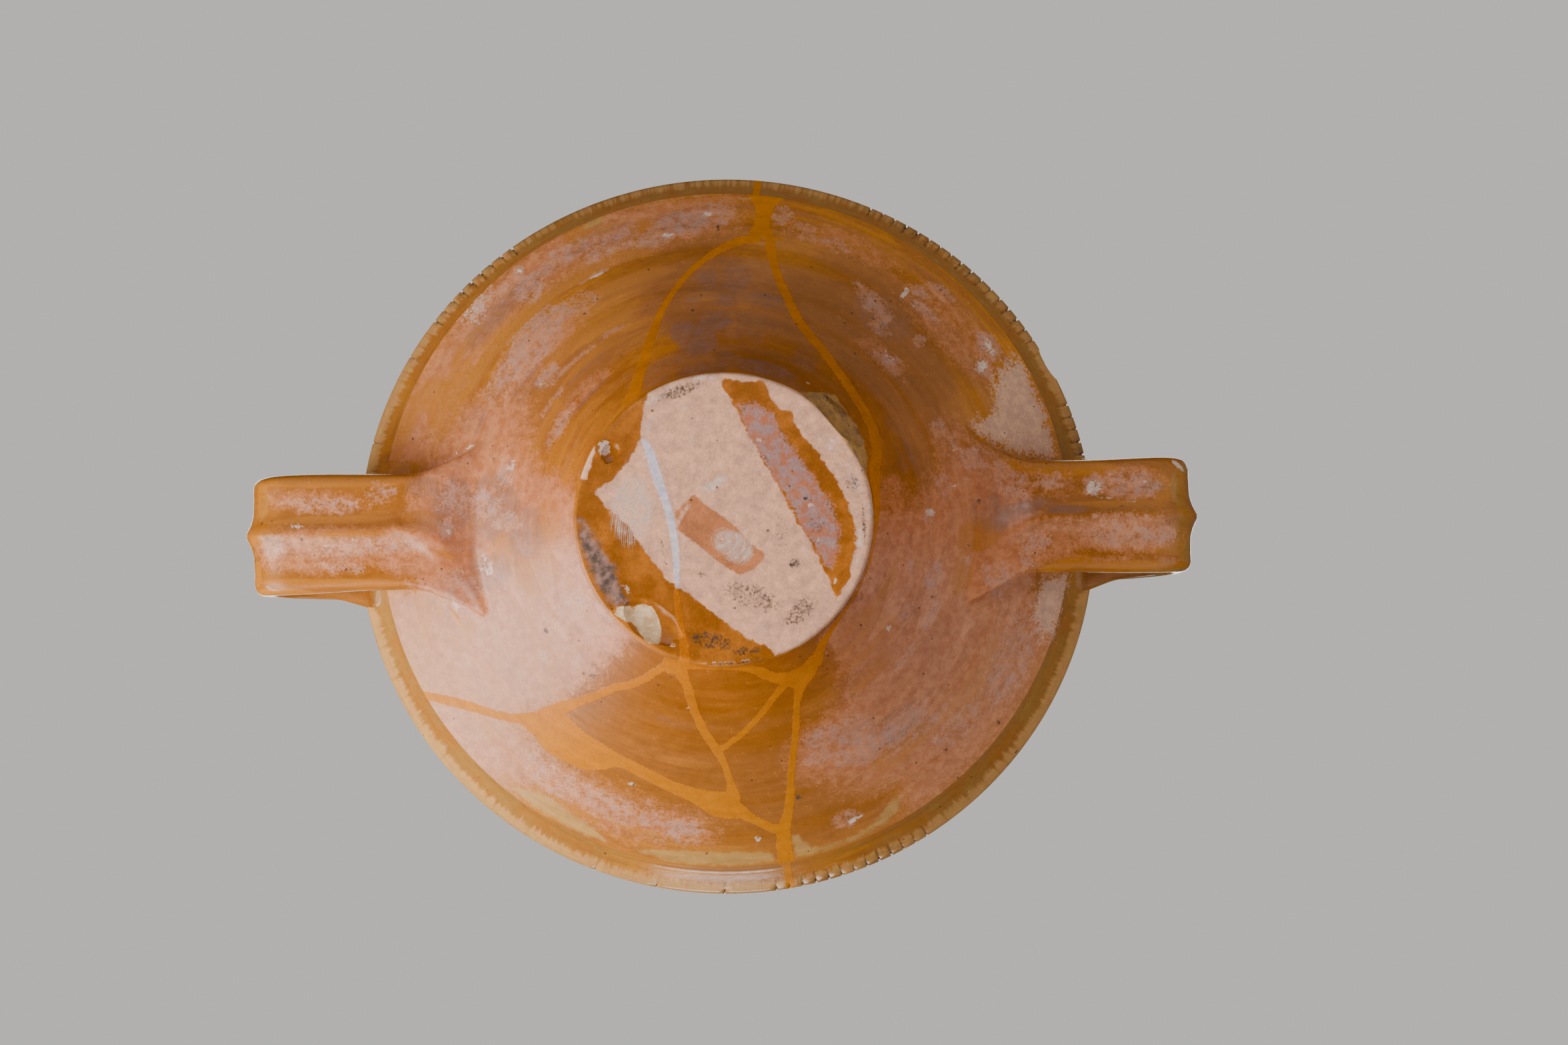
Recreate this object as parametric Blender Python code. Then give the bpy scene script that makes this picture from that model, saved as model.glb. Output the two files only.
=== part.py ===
"""Two-handled glazed earthenware bowl, thrown on a wheel, with notched lip and strap handles.

The bowl stands on its foot at z = 0 with its mouth up. The handles lie along X.
All sizes are in metres.
"""

import math

import bmesh
import bpy
from mathutils import Matrix, Vector

# Thrown body
FOOT_RADIUS = 0.0505
FOOT_EDGE_HEIGHT = 0.003
FOOT_EDGE_ROUND = 0.001
SHOULDER_RADIUS = 0.1223
SHOULDER_HEIGHT = 0.058
SHOULDER_ROUND = 0.0016
LIP_RADIUS = 0.132
BOWL_HEIGHT = 0.096
WALL_THICKNESS = 0.0065
COLLAR_THICKNESS = 0.0056
LIP_THICKNESS = 0.0066
FLOOR_THICKNESS = 0.009
FLOOR_FILLET = 0.014
WALL_BELLY = 0.0016
COLLAR_HOLLOW = 0.0038
THROWING_RIDGE = 0.00035
THROWING_PITCH = 0.0165

# How the collar curves: powers of the share of its height
COLLAR_FLARE_POWER = 1.8
COLLAR_HOLLOW_POWER = 0.62

# The pot went slightly oval before firing: depth across the handles over width along them
FOOT_SQUEEZE = 0.985
LIP_SQUEEZE = 0.975

# Strap handles
STRAP_WIDTH = 0.041
STRAP_THICKNESS = 0.0078
STRAP_RIB = 0.0026
STRAP_RIB_HALF_WIDTH = 0.0057
STRAP_EDGE_BEAD = 0.0012
STRAP_EDGE_BEAD_WIDTH = 0.0078
HANDLE_REACH = 0.0365
HANDLE_ROOT_BELOW_SHOULDER = 0.0295
HANDLE_LOW_BELOW_SHOULDER = 0.015
HANDLE_HIGH_BELOW_LIP = 0.012
HANDLE_TOP_BELOW_LIP = 0.0095
HANDLE_LOW_BEND = 0.012
HANDLE_HIGH_BEND = 0.019
RIGHT_STRAP_SLIMMER = 0.0015
RIGHT_REACH_SHORTER = 0.0025

# Where the straps are smeared on to the pot, they fan out and thin
ROOT_FLARE_WIDTH = 0.062
ROOT_FLARE_LENGTH = 0.026
ROOT_HUG_START = 0.012
ROOT_HUG_END = 0.040
ROOT_THINNING = 0.62
TOP_FLARE_WIDTH = 0.049
TOP_FLARE_LENGTH = 0.016
TOP_THINNING = 0.15
RIB_SWEEP = 0.010

HANDLES = (
    {
        "name": "right",
        "angle_deg": -1.5,
        "slimmer": RIGHT_STRAP_SLIMMER,
        "shorter": RIGHT_REACH_SHORTER,
        "sweep": RIB_SWEEP,
    },
    {
        "name": "left",
        "angle_deg": 178.8,
        "slimmer": 0.0,
        "shorter": 0.0,
        "sweep": -RIB_SWEEP,
    },
)

# Notches pressed in the lip: the angles between which they survive
NOTCH_PITCH_DEG = 2.1
NOTCH_WIDTH = 0.0009
NOTCH_DEPTH = 0.0009
NOTCH_LENGTH = 0.0065
NOTCH_RUNS_DEG = ((293.2, 327.0), (338.5, 347.0), (57.0, 83.0), (90.3, 92.0), (217.0, 235.0))

# Bites out of the lip and foot: centre in from the edge, and half sizes across, along and down
LIP_CHIP = {"angle_deg": 331.2, "inside": -0.0062, "across": 0.0093, "along": 0.00975, "down": 0.009}
FOOT_SLIVER = {"angle_deg": 320.0, "inside": 0.0, "across": 0.0027, "along": 0.017, "down": 0.0032}
FOOT_FLAKE = {"angle_deg": 124.0, "inside": 0.0075, "across": 0.0063, "along": 0.011, "down": 0.0018}
FOOT_PIT = {"angle_deg": 210.4, "inside": 0.006, "across": 0.003, "along": 0.0038, "down": 0.0012}

# The broken outer corner of the right handle
CORNER_CHIP_ACROSS = 0.0055
CORNER_CHIP_ALONG = 0.010
CORNER_CHIP_DOWN = 0.026
CORNER_CHIP_SLANT_DEG = 34.0

# How finely the round shapes are cut into facets
SEGMENTS = 80
WALL_ROWS = 17
COLLAR_ROWS = 9
INNER_COLLAR_ROWS = 5
LIP_ROWS = 4
INNER_WALL_ROWS = 7
FLOOR_ROWS = 3
BEND_ROWS = 4
SCOOP_STEPS = 2
STRAP_SIDES = (0.0, 0.13, 0.40, 0.66, 0.84, 0.95, 1.0)
STRAP_INNER_SIDES = (0.0, 0.45, 0.86)
STRAP_SQUARENESS = 5
ROOT_STEPS = (0.05, 0.11, 0.18, 0.27, 0.40, 0.68)
TOP_STEPS = (0.35, 0.62, 0.82)
SHARP_EDGE_DEG = 40.0

# Glaze as the photo shows it
GLAZE_COLOUR = (0.46, 0.17, 0.03, 1.0)
GLAZE_ROUGHNESS = 0.25


def remove_old_objects():
    for old in list(bpy.data.objects):
        bpy.data.objects.remove(old, do_unlink=True)


def lerp(a, b, u):
    return a + (b - a) * u


def smooth(u):
    u = min(1.0, max(0.0, u))
    return u * u * (3.0 - 2.0 * u)


def glazed_earthenware():
    material = bpy.data.materials.new("lead glazed earthenware")
    material.use_nodes = True
    shader = material.node_tree.nodes["Principled BSDF"]
    shader.inputs["Base Color"].default_value = GLAZE_COLOUR
    shader.inputs["Roughness"].default_value = GLAZE_ROUGHNESS
    shader.inputs["Metallic"].default_value = 0.0
    return material


def finished_object(name, mesh, material):
    """Turn a closed bmesh into an object with outward faces and smooth round stretches."""
    bmesh.ops.recalc_face_normals(mesh, faces=mesh.faces)
    data = bpy.data.meshes.new(name)
    mesh.to_mesh(data)
    mesh.free()
    data.materials.append(material)
    data.shade_smooth()
    data.set_sharp_from_angle(angle=math.radians(SHARP_EDGE_DEG))
    made = bpy.data.objects.new(name, data)
    bpy.context.scene.collection.objects.link(made)
    return made


def bridge(mesh, rings):
    """Join rings of equal length with four-sided faces."""
    count = len(rings[0])
    for near, far in zip(rings, rings[1:]):
        for step in range(count):
            following = (step + 1) % count
            mesh.faces.new((near[step], near[following], far[following], far[step]))


# The turned profile, as pairs of radius and height

def wall_line():
    """Unit vector up the outer wall, and the wall's length."""
    run = SHOULDER_RADIUS - FOOT_RADIUS
    rise = SHOULDER_HEIGHT - FOOT_EDGE_HEIGHT
    length = math.hypot(run, rise)
    return run / length, rise / length, length


def wall_point(u, inset=0.0):
    """A point u of the way up the conical wall, inset from its outer face."""
    run, rise, length = wall_line()
    belly = WALL_BELLY * math.sin(math.pi * min(1.0, max(0.0, u)))
    radius = FOOT_RADIUS + run * length * u + rise * (belly - inset)
    height = FOOT_EDGE_HEIGHT + rise * length * u - run * (belly - inset)
    return radius, height


def throwing_ridge(u):
    """How proud the potter's fingers left the wall at u, fading out at both ends."""
    length = wall_line()[2]
    fade_in = smooth(u * length / THROWING_PITCH)
    fade_out = smooth((1.0 - u) * length / THROWING_PITCH)
    return THROWING_RIDGE * fade_in * fade_out * math.sin(2.0 * math.pi * u * length / THROWING_PITCH)


def lip_side_height():
    """Height of the widest part of the lip, where its rounded top begins."""
    return BOWL_HEIGHT - LIP_THICKNESS / 2


def collar_radius(height):
    """Outer radius of the hollow collar between the shoulder and the lip."""
    v = (height - SHOULDER_HEIGHT) / (lip_side_height() - SHOULDER_HEIGHT)
    v = min(1.0, max(0.0, v))
    flare = lerp(SHOULDER_RADIUS, LIP_RADIUS, v ** COLLAR_FLARE_POWER)
    return flare - COLLAR_HOLLOW * math.sin(math.pi * v ** COLLAR_HOLLOW_POWER)


def outer_profile():
    """From the foot's edge, up the outside, to the outer side of the lip."""
    points = [(FOOT_RADIUS - FOOT_EDGE_ROUND, 0.0), (FOOT_RADIUS, FOOT_EDGE_ROUND)]
    last = 1.0 - SHOULDER_ROUND / wall_line()[2]
    for row in range(WALL_ROWS):
        u = last * row / (WALL_ROWS - 1)
        points.append(wall_point(u, -throwing_ridge(u)))
    for row in range(COLLAR_ROWS):
        height = lerp(SHOULDER_HEIGHT + SHOULDER_ROUND, lip_side_height(), row / (COLLAR_ROWS - 1))
        points.append((collar_radius(height), height))
    return points


def lip_profile():
    """The rounded top of the lip, from its outer side over to its inner side."""
    half = LIP_THICKNESS / 2
    points = []
    for row in range(1, LIP_ROWS):
        turn = math.pi * row / LIP_ROWS
        points.append((LIP_RADIUS - half + half * math.cos(turn), lip_side_height() + half * math.sin(turn)))
    return points


def inner_profile():
    """The inside, from the lip down to the flat of the floor."""
    points = []
    low = wall_point(1.0, WALL_THICKNESS)[1] + COLLAR_THICKNESS
    for row in range(INNER_COLLAR_ROWS):
        v = row / (INNER_COLLAR_ROWS - 1)
        height = lerp(lip_side_height(), low, v)
        thickness = lerp(LIP_THICKNESS, COLLAR_THICKNESS, smooth(v * 3.0))
        points.append((collar_radius(height) - thickness, height))
    start = 1.0 - COLLAR_THICKNESS / wall_line()[2]
    end = FLOOR_FILLET / wall_line()[2]
    for row in range(INNER_WALL_ROWS):
        points.append(wall_point(lerp(start, end, row / (INNER_WALL_ROWS - 1)), WALL_THICKNESS))
    edge_radius, edge_height = points[-1]
    for row in range(1, FLOOR_ROWS + 1):
        u = row / FLOOR_ROWS
        height = lerp(FLOOR_THICKNESS, edge_height, (1.0 - u) ** 2)
        points.append((edge_radius - 2.0 * FLOOR_FILLET * u, height))
    return points


def squeeze(height):
    """How oval the pot is at a height."""
    return lerp(FOOT_SQUEEZE, LIP_SQUEEZE, height / BOWL_HEIGHT)


def thrown_body(material):
    """The hollow pot as one closed skin turned round the vertical axis."""
    mesh = bmesh.new()
    rings = []
    for radius, height in outer_profile() + lip_profile() + inner_profile():
        ring = []
        for step in range(SEGMENTS):
            turn = 2.0 * math.pi * step / SEGMENTS
            y = radius * math.sin(turn) * squeeze(height)
            ring.append(mesh.verts.new((radius * math.cos(turn), y, height)))
        rings.append(ring)
    bridge(mesh, rings)
    mesh.faces.new(rings[0])
    centre = mesh.verts.new((0.0, 0.0, FLOOR_THICKNESS))
    for step in range(SEGMENTS):
        mesh.faces.new((rings[-1][step], rings[-1][(step + 1) % SEGMENTS], centre))
    return finished_object("bowl", mesh, material)


# The strap handles

def rounded_route(corners, bends):
    """Points along straight runs whose inner corners are rounded to the given radii."""
    route = [corners[0]]
    for before, corner, after, bend in zip(corners, corners[1:], corners[2:], bends):
        back = (before - corner).normalized()
        ahead = (after - corner).normalized()
        half_angle = back.angle(ahead) / 2.0
        reach = bend / math.tan(half_angle)
        centre = corner + (back + ahead).normalized() * bend / math.sin(half_angle)
        start = corner + back * reach - centre
        sweep = start.angle_signed(corner + ahead * reach - centre)
        for row in range(BEND_ROWS + 1):
            route.append(centre + Matrix.Rotation(-sweep * row / BEND_ROWS, 2) @ start)
    route.append(corners[-1])
    return route


def handle_route(shorter):
    """Middle line of the strap in the plane of radius and height, from its root to its top."""
    root_height = SHOULDER_HEIGHT - HANDLE_ROOT_BELOW_SHOULDER
    root_share = (root_height - FOOT_EDGE_HEIGHT) / (SHOULDER_HEIGHT - FOOT_EDGE_HEIGHT)
    root = Vector(wall_point(root_share, WALL_THICKNESS / 2))
    outer = LIP_RADIUS + HANDLE_REACH - shorter - STRAP_RIB - STRAP_THICKNESS / 2
    low_corner = Vector((outer, SHOULDER_HEIGHT - HANDLE_LOW_BELOW_SHOULDER))
    high_corner = Vector((outer, BOWL_HEIGHT - HANDLE_HIGH_BELOW_LIP))
    top_height = BOWL_HEIGHT - HANDLE_TOP_BELOW_LIP
    top = Vector((collar_radius(top_height) - COLLAR_THICKNESS / 2, top_height))
    route = rounded_route([root, low_corner, high_corner, top], [HANDLE_LOW_BEND, HANDLE_HIGH_BEND])
    root_points = [root.lerp(route[1], share) for share in ROOT_STEPS]
    top_points = [route[-2].lerp(top, share) for share in TOP_STEPS]
    return [root] + root_points + route[1:-1] + top_points + [top]


def strap_fullness(side):
    """How full the strap's section is at a side position, with rounded edges."""
    return math.sqrt(1.0 - abs(side) ** STRAP_SQUARENESS)


def strap_section(width, thickness, rib, rib_shift):
    """Outline across the strap: side position and height, outer face first, then the inner face."""
    half = width / 2
    outer = []
    for side in [-share for share in STRAP_SIDES[:0:-1]] + list(STRAP_SIDES):
        off_edge = half * (1.0 - abs(side))
        spine = rib * max(0.0, 1.0 - half * abs(side) / STRAP_RIB_HALF_WIDTH)
        bead = STRAP_EDGE_BEAD * (1.0 - smooth(off_edge / STRAP_EDGE_BEAD_WIDTH))
        across = side * half + rib_shift * (1.0 - side * side)
        outer.append((across, spine + (thickness / 2 + bead) * strap_fullness(side)))
    inner = []
    for side in list(STRAP_INNER_SIDES[::-1]) + [-share for share in STRAP_INNER_SIDES[1:]]:
        inner.append((side * half, -thickness / 2 * strap_fullness(side)))
    return outer + inner


def strap_handle(handle, material):
    """One closed strap swept along its route."""
    route = handle_route(handle["shorter"])
    plain_width = STRAP_WIDTH - handle["slimmer"]
    walked = [0.0]
    for before, after in zip(route, route[1:]):
        walked.append(walked[-1] + (after - before).length)
    mesh = bmesh.new()
    rings = []
    for index, point in enumerate(route):
        along = (route[min(index + 1, len(route) - 1)] - route[max(index - 1, 0)]).normalized()
        outward = Vector((along.y, -along.x))
        root_share = 1.0 - smooth(walked[index] / ROOT_FLARE_LENGTH)
        top_share = 1.0 - smooth((walked[-1] - walked[index]) / TOP_FLARE_LENGTH)
        width = lerp(lerp(plain_width, ROOT_FLARE_WIDTH, root_share), TOP_FLARE_WIDTH, top_share)
        root_thinning = 1.0 - ROOT_THINNING * root_share ** 2
        top_thinning = 1.0 - TOP_THINNING * top_share
        thickness = STRAP_THICKNESS * root_thinning * top_thinning
        root_hug = 1.0 - smooth((walked[index] - ROOT_HUG_START) / (ROOT_HUG_END - ROOT_HUG_START))
        hug = max(root_hug, top_share)
        rib = STRAP_RIB * (1.0 - root_share)
        ring = []
        for side, height in strap_section(width, thickness, rib, handle["sweep"] * root_share):
            spot = point + outward * height
            radius = spot.x - hug * side * side / (2.0 * spot.x)
            ring.append(mesh.verts.new((radius, side, spot.y)))
        rings.append(ring)
    bridge(mesh, rings)
    mesh.faces.new(rings[0])
    mesh.faces.new(rings[-1])
    turn = Matrix.Rotation(math.radians(handle["angle_deg"]), 4, "Z")
    bmesh.ops.transform(mesh, matrix=turn, verts=mesh.verts)
    return finished_object(handle["name"] + "_strap", mesh, material)


# Notches and damage

def around(angle_deg, radius, height):
    """A frame on the oval body at an angle: X points outward, Y along the edge, Z up."""
    turn = math.radians(angle_deg)
    place = Vector((radius * math.cos(turn), radius * math.sin(turn) * squeeze(height), height))
    return Matrix.Translation(place) @ Matrix.Rotation(turn, 4, "Z")


def notch_angles():
    angles = []
    for start, end in NOTCH_RUNS_DEG:
        count = int((end - start) / NOTCH_PITCH_DEG) + 1
        angles.extend(start + NOTCH_PITCH_DEG * step for step in range(count))
    return angles


def notch_cutter(material):
    """Upright three-sided wedges pressed into the outer side of the lip, following its lean."""
    mesh = bmesh.new()
    outside = NOTCH_DEPTH * 2.0
    half = NOTCH_WIDTH / 2 * (outside + NOTCH_DEPTH) / NOTCH_DEPTH
    bottom = -NOTCH_LENGTH
    lean = collar_radius(BOWL_HEIGHT - NOTCH_LENGTH) - LIP_RADIUS + NOTCH_DEPTH / 2
    corners = ((-NOTCH_DEPTH, 0.0), (outside, -half), (outside, half))
    for angle in notch_angles():
        place = around(angle, LIP_RADIUS, BOWL_HEIGHT)
        low = [mesh.verts.new(place @ Vector((x + lean, y, bottom))) for x, y in corners]
        high = [mesh.verts.new(place @ Vector((x, y, NOTCH_DEPTH))) for x, y in corners]
        bridge(mesh, [low, high])
        mesh.faces.new(low)
        mesh.faces.new(high)
    return finished_object("notch_cutter", mesh, material)


def scoop(mesh, place, across, along, down):
    """A rounded bite with the given half sizes."""
    stretch = Matrix.Diagonal((across, along, down, 1.0))
    bmesh.ops.create_icosphere(mesh, subdivisions=SCOOP_STEPS, radius=1.0, matrix=place @ stretch)


def edge_bite(mesh, chip, edge_radius, height):
    """A bite near the edge of the lip or the foot."""
    place = around(chip["angle_deg"], edge_radius - chip["inside"], height)
    scoop(mesh, place, chip["across"], chip["along"], chip["down"])


def damage_cutter(material):
    """Chips in the lip, the foot and the corner of the right handle."""
    mesh = bmesh.new()
    edge_bite(mesh, LIP_CHIP, LIP_RADIUS, BOWL_HEIGHT)
    for chip in (FOOT_SLIVER, FOOT_FLAKE, FOOT_PIT):
        edge_bite(mesh, chip, FOOT_RADIUS, 0.0)
    chipped = HANDLES[0]
    end = LIP_RADIUS + HANDLE_REACH - chipped["shorter"]
    side = (STRAP_WIDTH - chipped["slimmer"]) / 2
    middle = (SHOULDER_HEIGHT - HANDLE_LOW_BELOW_SHOULDER + BOWL_HEIGHT - HANDLE_HIGH_BELOW_LIP) / 2
    turn = Matrix.Rotation(math.radians(chipped["angle_deg"]), 4, "Z")
    slant = Matrix.Rotation(math.radians(-CORNER_CHIP_SLANT_DEG), 4, "Z")
    place = turn @ Matrix.Translation((end, -side, middle)) @ slant
    scoop(mesh, place, CORNER_CHIP_ACROSS, CORNER_CHIP_ALONG, CORNER_CHIP_DOWN)
    return finished_object("damage_cutter", mesh, material)


def combine(target, operand, operation):
    """Join or cut one closed shape with another, and hide the operand."""
    modifier = target.modifiers.new(operand.name, "BOOLEAN")
    modifier.object = operand
    modifier.operation = operation
    modifier.solver = "EXACT"
    operand.hide_render = True
    operand.display_type = "WIRE"


def build():
    remove_old_objects()
    material = glazed_earthenware()
    bowl = thrown_body(material)
    for handle in HANDLES:
        combine(bowl, strap_handle(handle, material), "UNION")
    combine(bowl, notch_cutter(material), "DIFFERENCE")
    combine(bowl, damage_cutter(material), "DIFFERENCE")
    bpy.context.view_layer.update()


build()
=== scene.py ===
"""Two-handled bowl of lead-glazed earthenware, seen from below as in the photograph.

The pot is turned, its straps are joined on, its edges are notched and chipped, and its
glaze, wear, bare clay and the restorer's fills are laid over it. Sizes are in metres
unless a name or comment says millimetres.
"""

import math

import bmesh
import bpy
import numpy as np
from mathutils import Matrix, Vector, noise


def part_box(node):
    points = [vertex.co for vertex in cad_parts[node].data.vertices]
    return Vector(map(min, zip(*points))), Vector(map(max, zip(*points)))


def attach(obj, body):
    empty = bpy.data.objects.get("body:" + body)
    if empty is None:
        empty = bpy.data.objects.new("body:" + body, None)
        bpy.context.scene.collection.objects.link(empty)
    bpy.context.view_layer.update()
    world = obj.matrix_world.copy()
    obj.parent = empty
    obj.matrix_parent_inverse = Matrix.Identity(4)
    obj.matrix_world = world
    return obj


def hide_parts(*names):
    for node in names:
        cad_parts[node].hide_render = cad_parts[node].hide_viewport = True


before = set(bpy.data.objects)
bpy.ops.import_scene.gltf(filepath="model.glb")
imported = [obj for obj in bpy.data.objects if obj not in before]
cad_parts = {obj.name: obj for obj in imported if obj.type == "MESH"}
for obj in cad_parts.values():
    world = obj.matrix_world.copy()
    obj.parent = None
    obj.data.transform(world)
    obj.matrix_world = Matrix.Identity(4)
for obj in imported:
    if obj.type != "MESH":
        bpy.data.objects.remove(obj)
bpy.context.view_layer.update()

bl_info = {
    "name": "Glazed earthenware bowl",
    "version": (1, 0, 0),
    "blender": (4, 5, 0),
    "location": "3D View > Sidebar > Pottery",
    "description": "Makes a worn two-handled bowl of lead-glazed earthenware and a pale stage for it",
    "category": "Add Mesh",
}

CAD_NODE = "bowl"
BODY = "root"
BOWL_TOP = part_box(CAD_NODE)[1][2]
MM = 0.001


def linear(hex_colour):
    """An sRGB hex colour as linear red, green and blue."""
    channels = [int(hex_colour[i:i + 2], 16) / 255.0 for i in (1, 3, 5)]
    return tuple(c / 12.92 if c <= 0.04045 else ((c + 0.055) / 1.055) ** 2.4 for c in channels)


# Sizes and colours that a user would change

def length(label, about, default):
    return bpy.props.FloatProperty(
        name=label, description=about, default=default, min=0.0, precision=5,
        subtype="DISTANCE", unit="LENGTH",
    )


def colour(label, about, hex_colour):
    return bpy.props.FloatVectorProperty(
        name=label, description=about, default=linear(hex_colour), min=0.0, max=1.0, size=3, subtype="COLOR"
    )


class PotSizes(bpy.types.PropertyGroup):
    foot_radius: length("Foot radius", "Flat foot, cut off the wheel with a string", 0.0505)
    shoulder_radius: length("Shoulder radius", "Sharp edge between wall and collar", 0.1223)
    shoulder_height: length("Shoulder height", "Height of the sharp edge above the foot", 0.058)
    lip_radius: length("Lip radius", "Widest part of the notched lip", 0.132)
    bowl_height: length("Bowl height", "Top of the lip above the foot", BOWL_TOP)
    wall_thickness: length("Wall", "Thickness of the conical wall", 0.0065)
    collar_thickness: length("Collar", "Thickness of the hollow collar", 0.0056)
    lip_thickness: length("Lip", "Thickness of the rounded lip", 0.0066)
    floor_thickness: length("Floor", "Thickness of the floor over the foot", 0.009)
    ridge: length("Throwing ridge", "How proud the fingers left the outer wall", 0.00016)
    notch_depth: length("Notch depth", "Depth of the notches in the lip", 0.0009)
    strap_width: length("Strap width", "Width of the left strap handle", 0.041)
    strap_thickness: length("Strap thickness", "Thickness of a strap without its rib", 0.0078)
    strap_rib: length("Strap rib", "Height of the rib along each strap", 0.0031)
    handle_reach: length("Handle reach", "How far the left handle stands out past the lip", 0.0365)


class GlazeColours(bpy.types.PropertyGroup):
    deep: colour("Deep amber", "Thick lead glaze over red clay", "#925508")
    amber: colour("Amber", "Lead glaze of middle thickness", "#A26120")
    orange: colour("Orange", "Glaze pooled in streaks", "#BA741C")
    salmon: colour("Salmon", "Thin worn glaze, clay showing through", "#B56C40")
    peach: colour("Peach", "Paler mottling of the worn glaze", "#CB855A")
    lilac: colour("Lilac", "Matt places where the glaze has decayed", "#B08C80")
    violet: colour("Violet", "Iron-dark glaze with a bluish bloom", "#876458")
    olive: colour("Olive", "Glaze gone yellow-green over pale clay", "#9A6F34")
    cream: colour("Cream", "Pale clay left bare at the shoulder", "#BF9350")
    fill: colour("Fill", "Painted plaster in the mended cracks", "#BF7200")
    clay: colour("Clay", "Bare fired clay of the foot", "#E2B596")
    chalk: colour("Chalk", "Whitish bare clay, scratches and lime", "#EBDCCF")
    soot: colour("Soot", "Soot and old dirt", "#514B48")
    iron: colour("Iron spots", "Burnt specks and pinholes in clay and glaze", "#2F2014")
    stripe: colour("Stripe", "Bluish-white painted line under the foot", "#C7C0D2")
    ash: colour("Ash", "Greyish-lilac decayed glaze under the foot", "#B3989A")
    biscuit: colour("Biscuit", "Fresh break in the pale clay", "#F6DDB6")
    rust: colour("Rust", "Red-brown smear under the foot", "#C27A3F")


class StageSettings(bpy.types.PropertyGroup):
    floor_width: length("Floor", "Width of the pale floor", 5.0)
    floor_colour: colour("Floor colour", "Plain pale paper", "#DAD8D4")
    focal_mm: bpy.props.FloatProperty(name="Focal length", description="Camera lens in mm", default=100.0)
    tilt: bpy.props.FloatProperty(
        name="Tilt", description="How far the camera leans from straight below", default=math.radians(3.565),
        subtype="ANGLE", unit="ROTATION",
    )


# Fixed facts of this pot, in metres

FOOT_EDGE_HEIGHT = 0.003
FOOT_EDGE_ROUND = 0.001
SHOULDER_ROUND = 0.0016
FLOOR_FILLET = 0.014
WALL_BELLY = 0.0016
COLLAR_HOLLOW = 0.0038
COLLAR_FLARE_POWER = 1.8
COLLAR_HOLLOW_POWER = 0.62
THROWING_PITCH = 0.0165
FOOT_SQUEEZE = 0.985
LIP_SQUEEZE = 0.975
STRAP_RIB_HALF_WIDTH = 0.0082
STRAP_RIB_ROUND = 0.0005
STRAP_EDGE_BEAD = 0.0015
STRAP_EDGE_BEAD_WIDTH = 0.0078
STRAP_RIB_SHARPNESS = 1.7
STRAP_SQUARENESS = 5
STRAP_WANDER = 0.0004
STRAP_WANDER_LENGTH = 0.011
HANDLE_ROOT_BELOW_SHOULDER = 0.0295
HANDLE_LOW_BELOW_SHOULDER = 0.015
HANDLE_HIGH_BELOW_LIP = 0.012
HANDLE_TOP_BELOW_LIP = 0.0095
HANDLE_LOW_BEND = 0.012
HANDLE_HIGH_BEND = 0.019
ROOT_FLARE_WIDTH = 0.062
ROOT_FLARE_LENGTH = 0.026
ROOT_HUG_START = 0.012
ROOT_HUG_END = 0.040
ROOT_THINNING = 0.62
TOP_FLARE_WIDTH = 0.049
TOP_FLARE_LENGTH = 0.016
TOP_THINNING = 0.15
RIB_SWEEP = 0.010
HANDLES = (
    {"angle_deg": -1.5, "slimmer": 0.0015, "shorter": 0.0025, "sweep": RIB_SWEEP},
    {"angle_deg": 178.8, "slimmer": 0.0, "shorter": 0.0, "sweep": -RIB_SWEEP},
)

NOTCH_PITCH_DEG = 2.1
NOTCH_HALF_WIDTH_DEG = 0.21
NOTCH_LENGTH = 0.0065
NOTCH_RUNS_DEG = ((293.2, 327.0), (338.5, 347.0), (57.0, 83.0), (90.3, 92.0), (217.0, 235.0))
LONE_NOTCHES_DEG = (101.0, 111.0, 195.0, 210.0)

# Bites: angle, how far in from the edge, and half sizes across, along and down
LIP_CHIP = (331.2, -0.0062, 0.0093, 0.00975, 0.009)
FOOT_SLIVER = (318.0, -0.0035, 0.0052, 0.0185, 0.0075)
FOOT_FLAKE = (124.0, 0.0075, 0.0063, 0.011, 0.0018)
FOOT_PIT = (210.4, 0.006, 0.003, 0.0038, 0.0012)
CORNER_CHIP = (0.0066, 0.011, 0.026)
CORNER_CHIP_SLANT_DEG = 34.0
# How grainy a broken face is: fineness and height of each layer, in shares of the bite's size
BREAK_GRAIN = ((2.3, 0.10), (7.0, 0.035))

# Ring lines left by the potter's rib: radius, height and half width in mm, and the share of
# that height that is left after glazing. Finer ripples of the fingers run between them.
RING_LINES_MM = (
    (59.0, 0.20, 0.8),
    (67.5, 0.10, 0.7),
    (76.5, 0.22, 0.9),
    (87.5, 0.14, 0.8),
    (97.5, 0.14, 0.6),
    (102.3, 0.24, 0.7),
    (114.0, 0.10, 0.9),
    (120.6, 0.22, 0.5),
)
RING_LEFT_SHARE = 0.6
RIPPLE_PITCH_MM = 4.4
RIPPLE_HEIGHT_MM = 0.018
COLLAR_GROOVE_HEIGHT = 0.0802
COLLAR_GROOVE_DEPTH = 0.0003
COLLAR_GROOVE_HALF_WIDTH = 0.0009
FOOT_MARK_PITCH = 0.0034
FOOT_MARK_DEPTH = 0.000012

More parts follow.
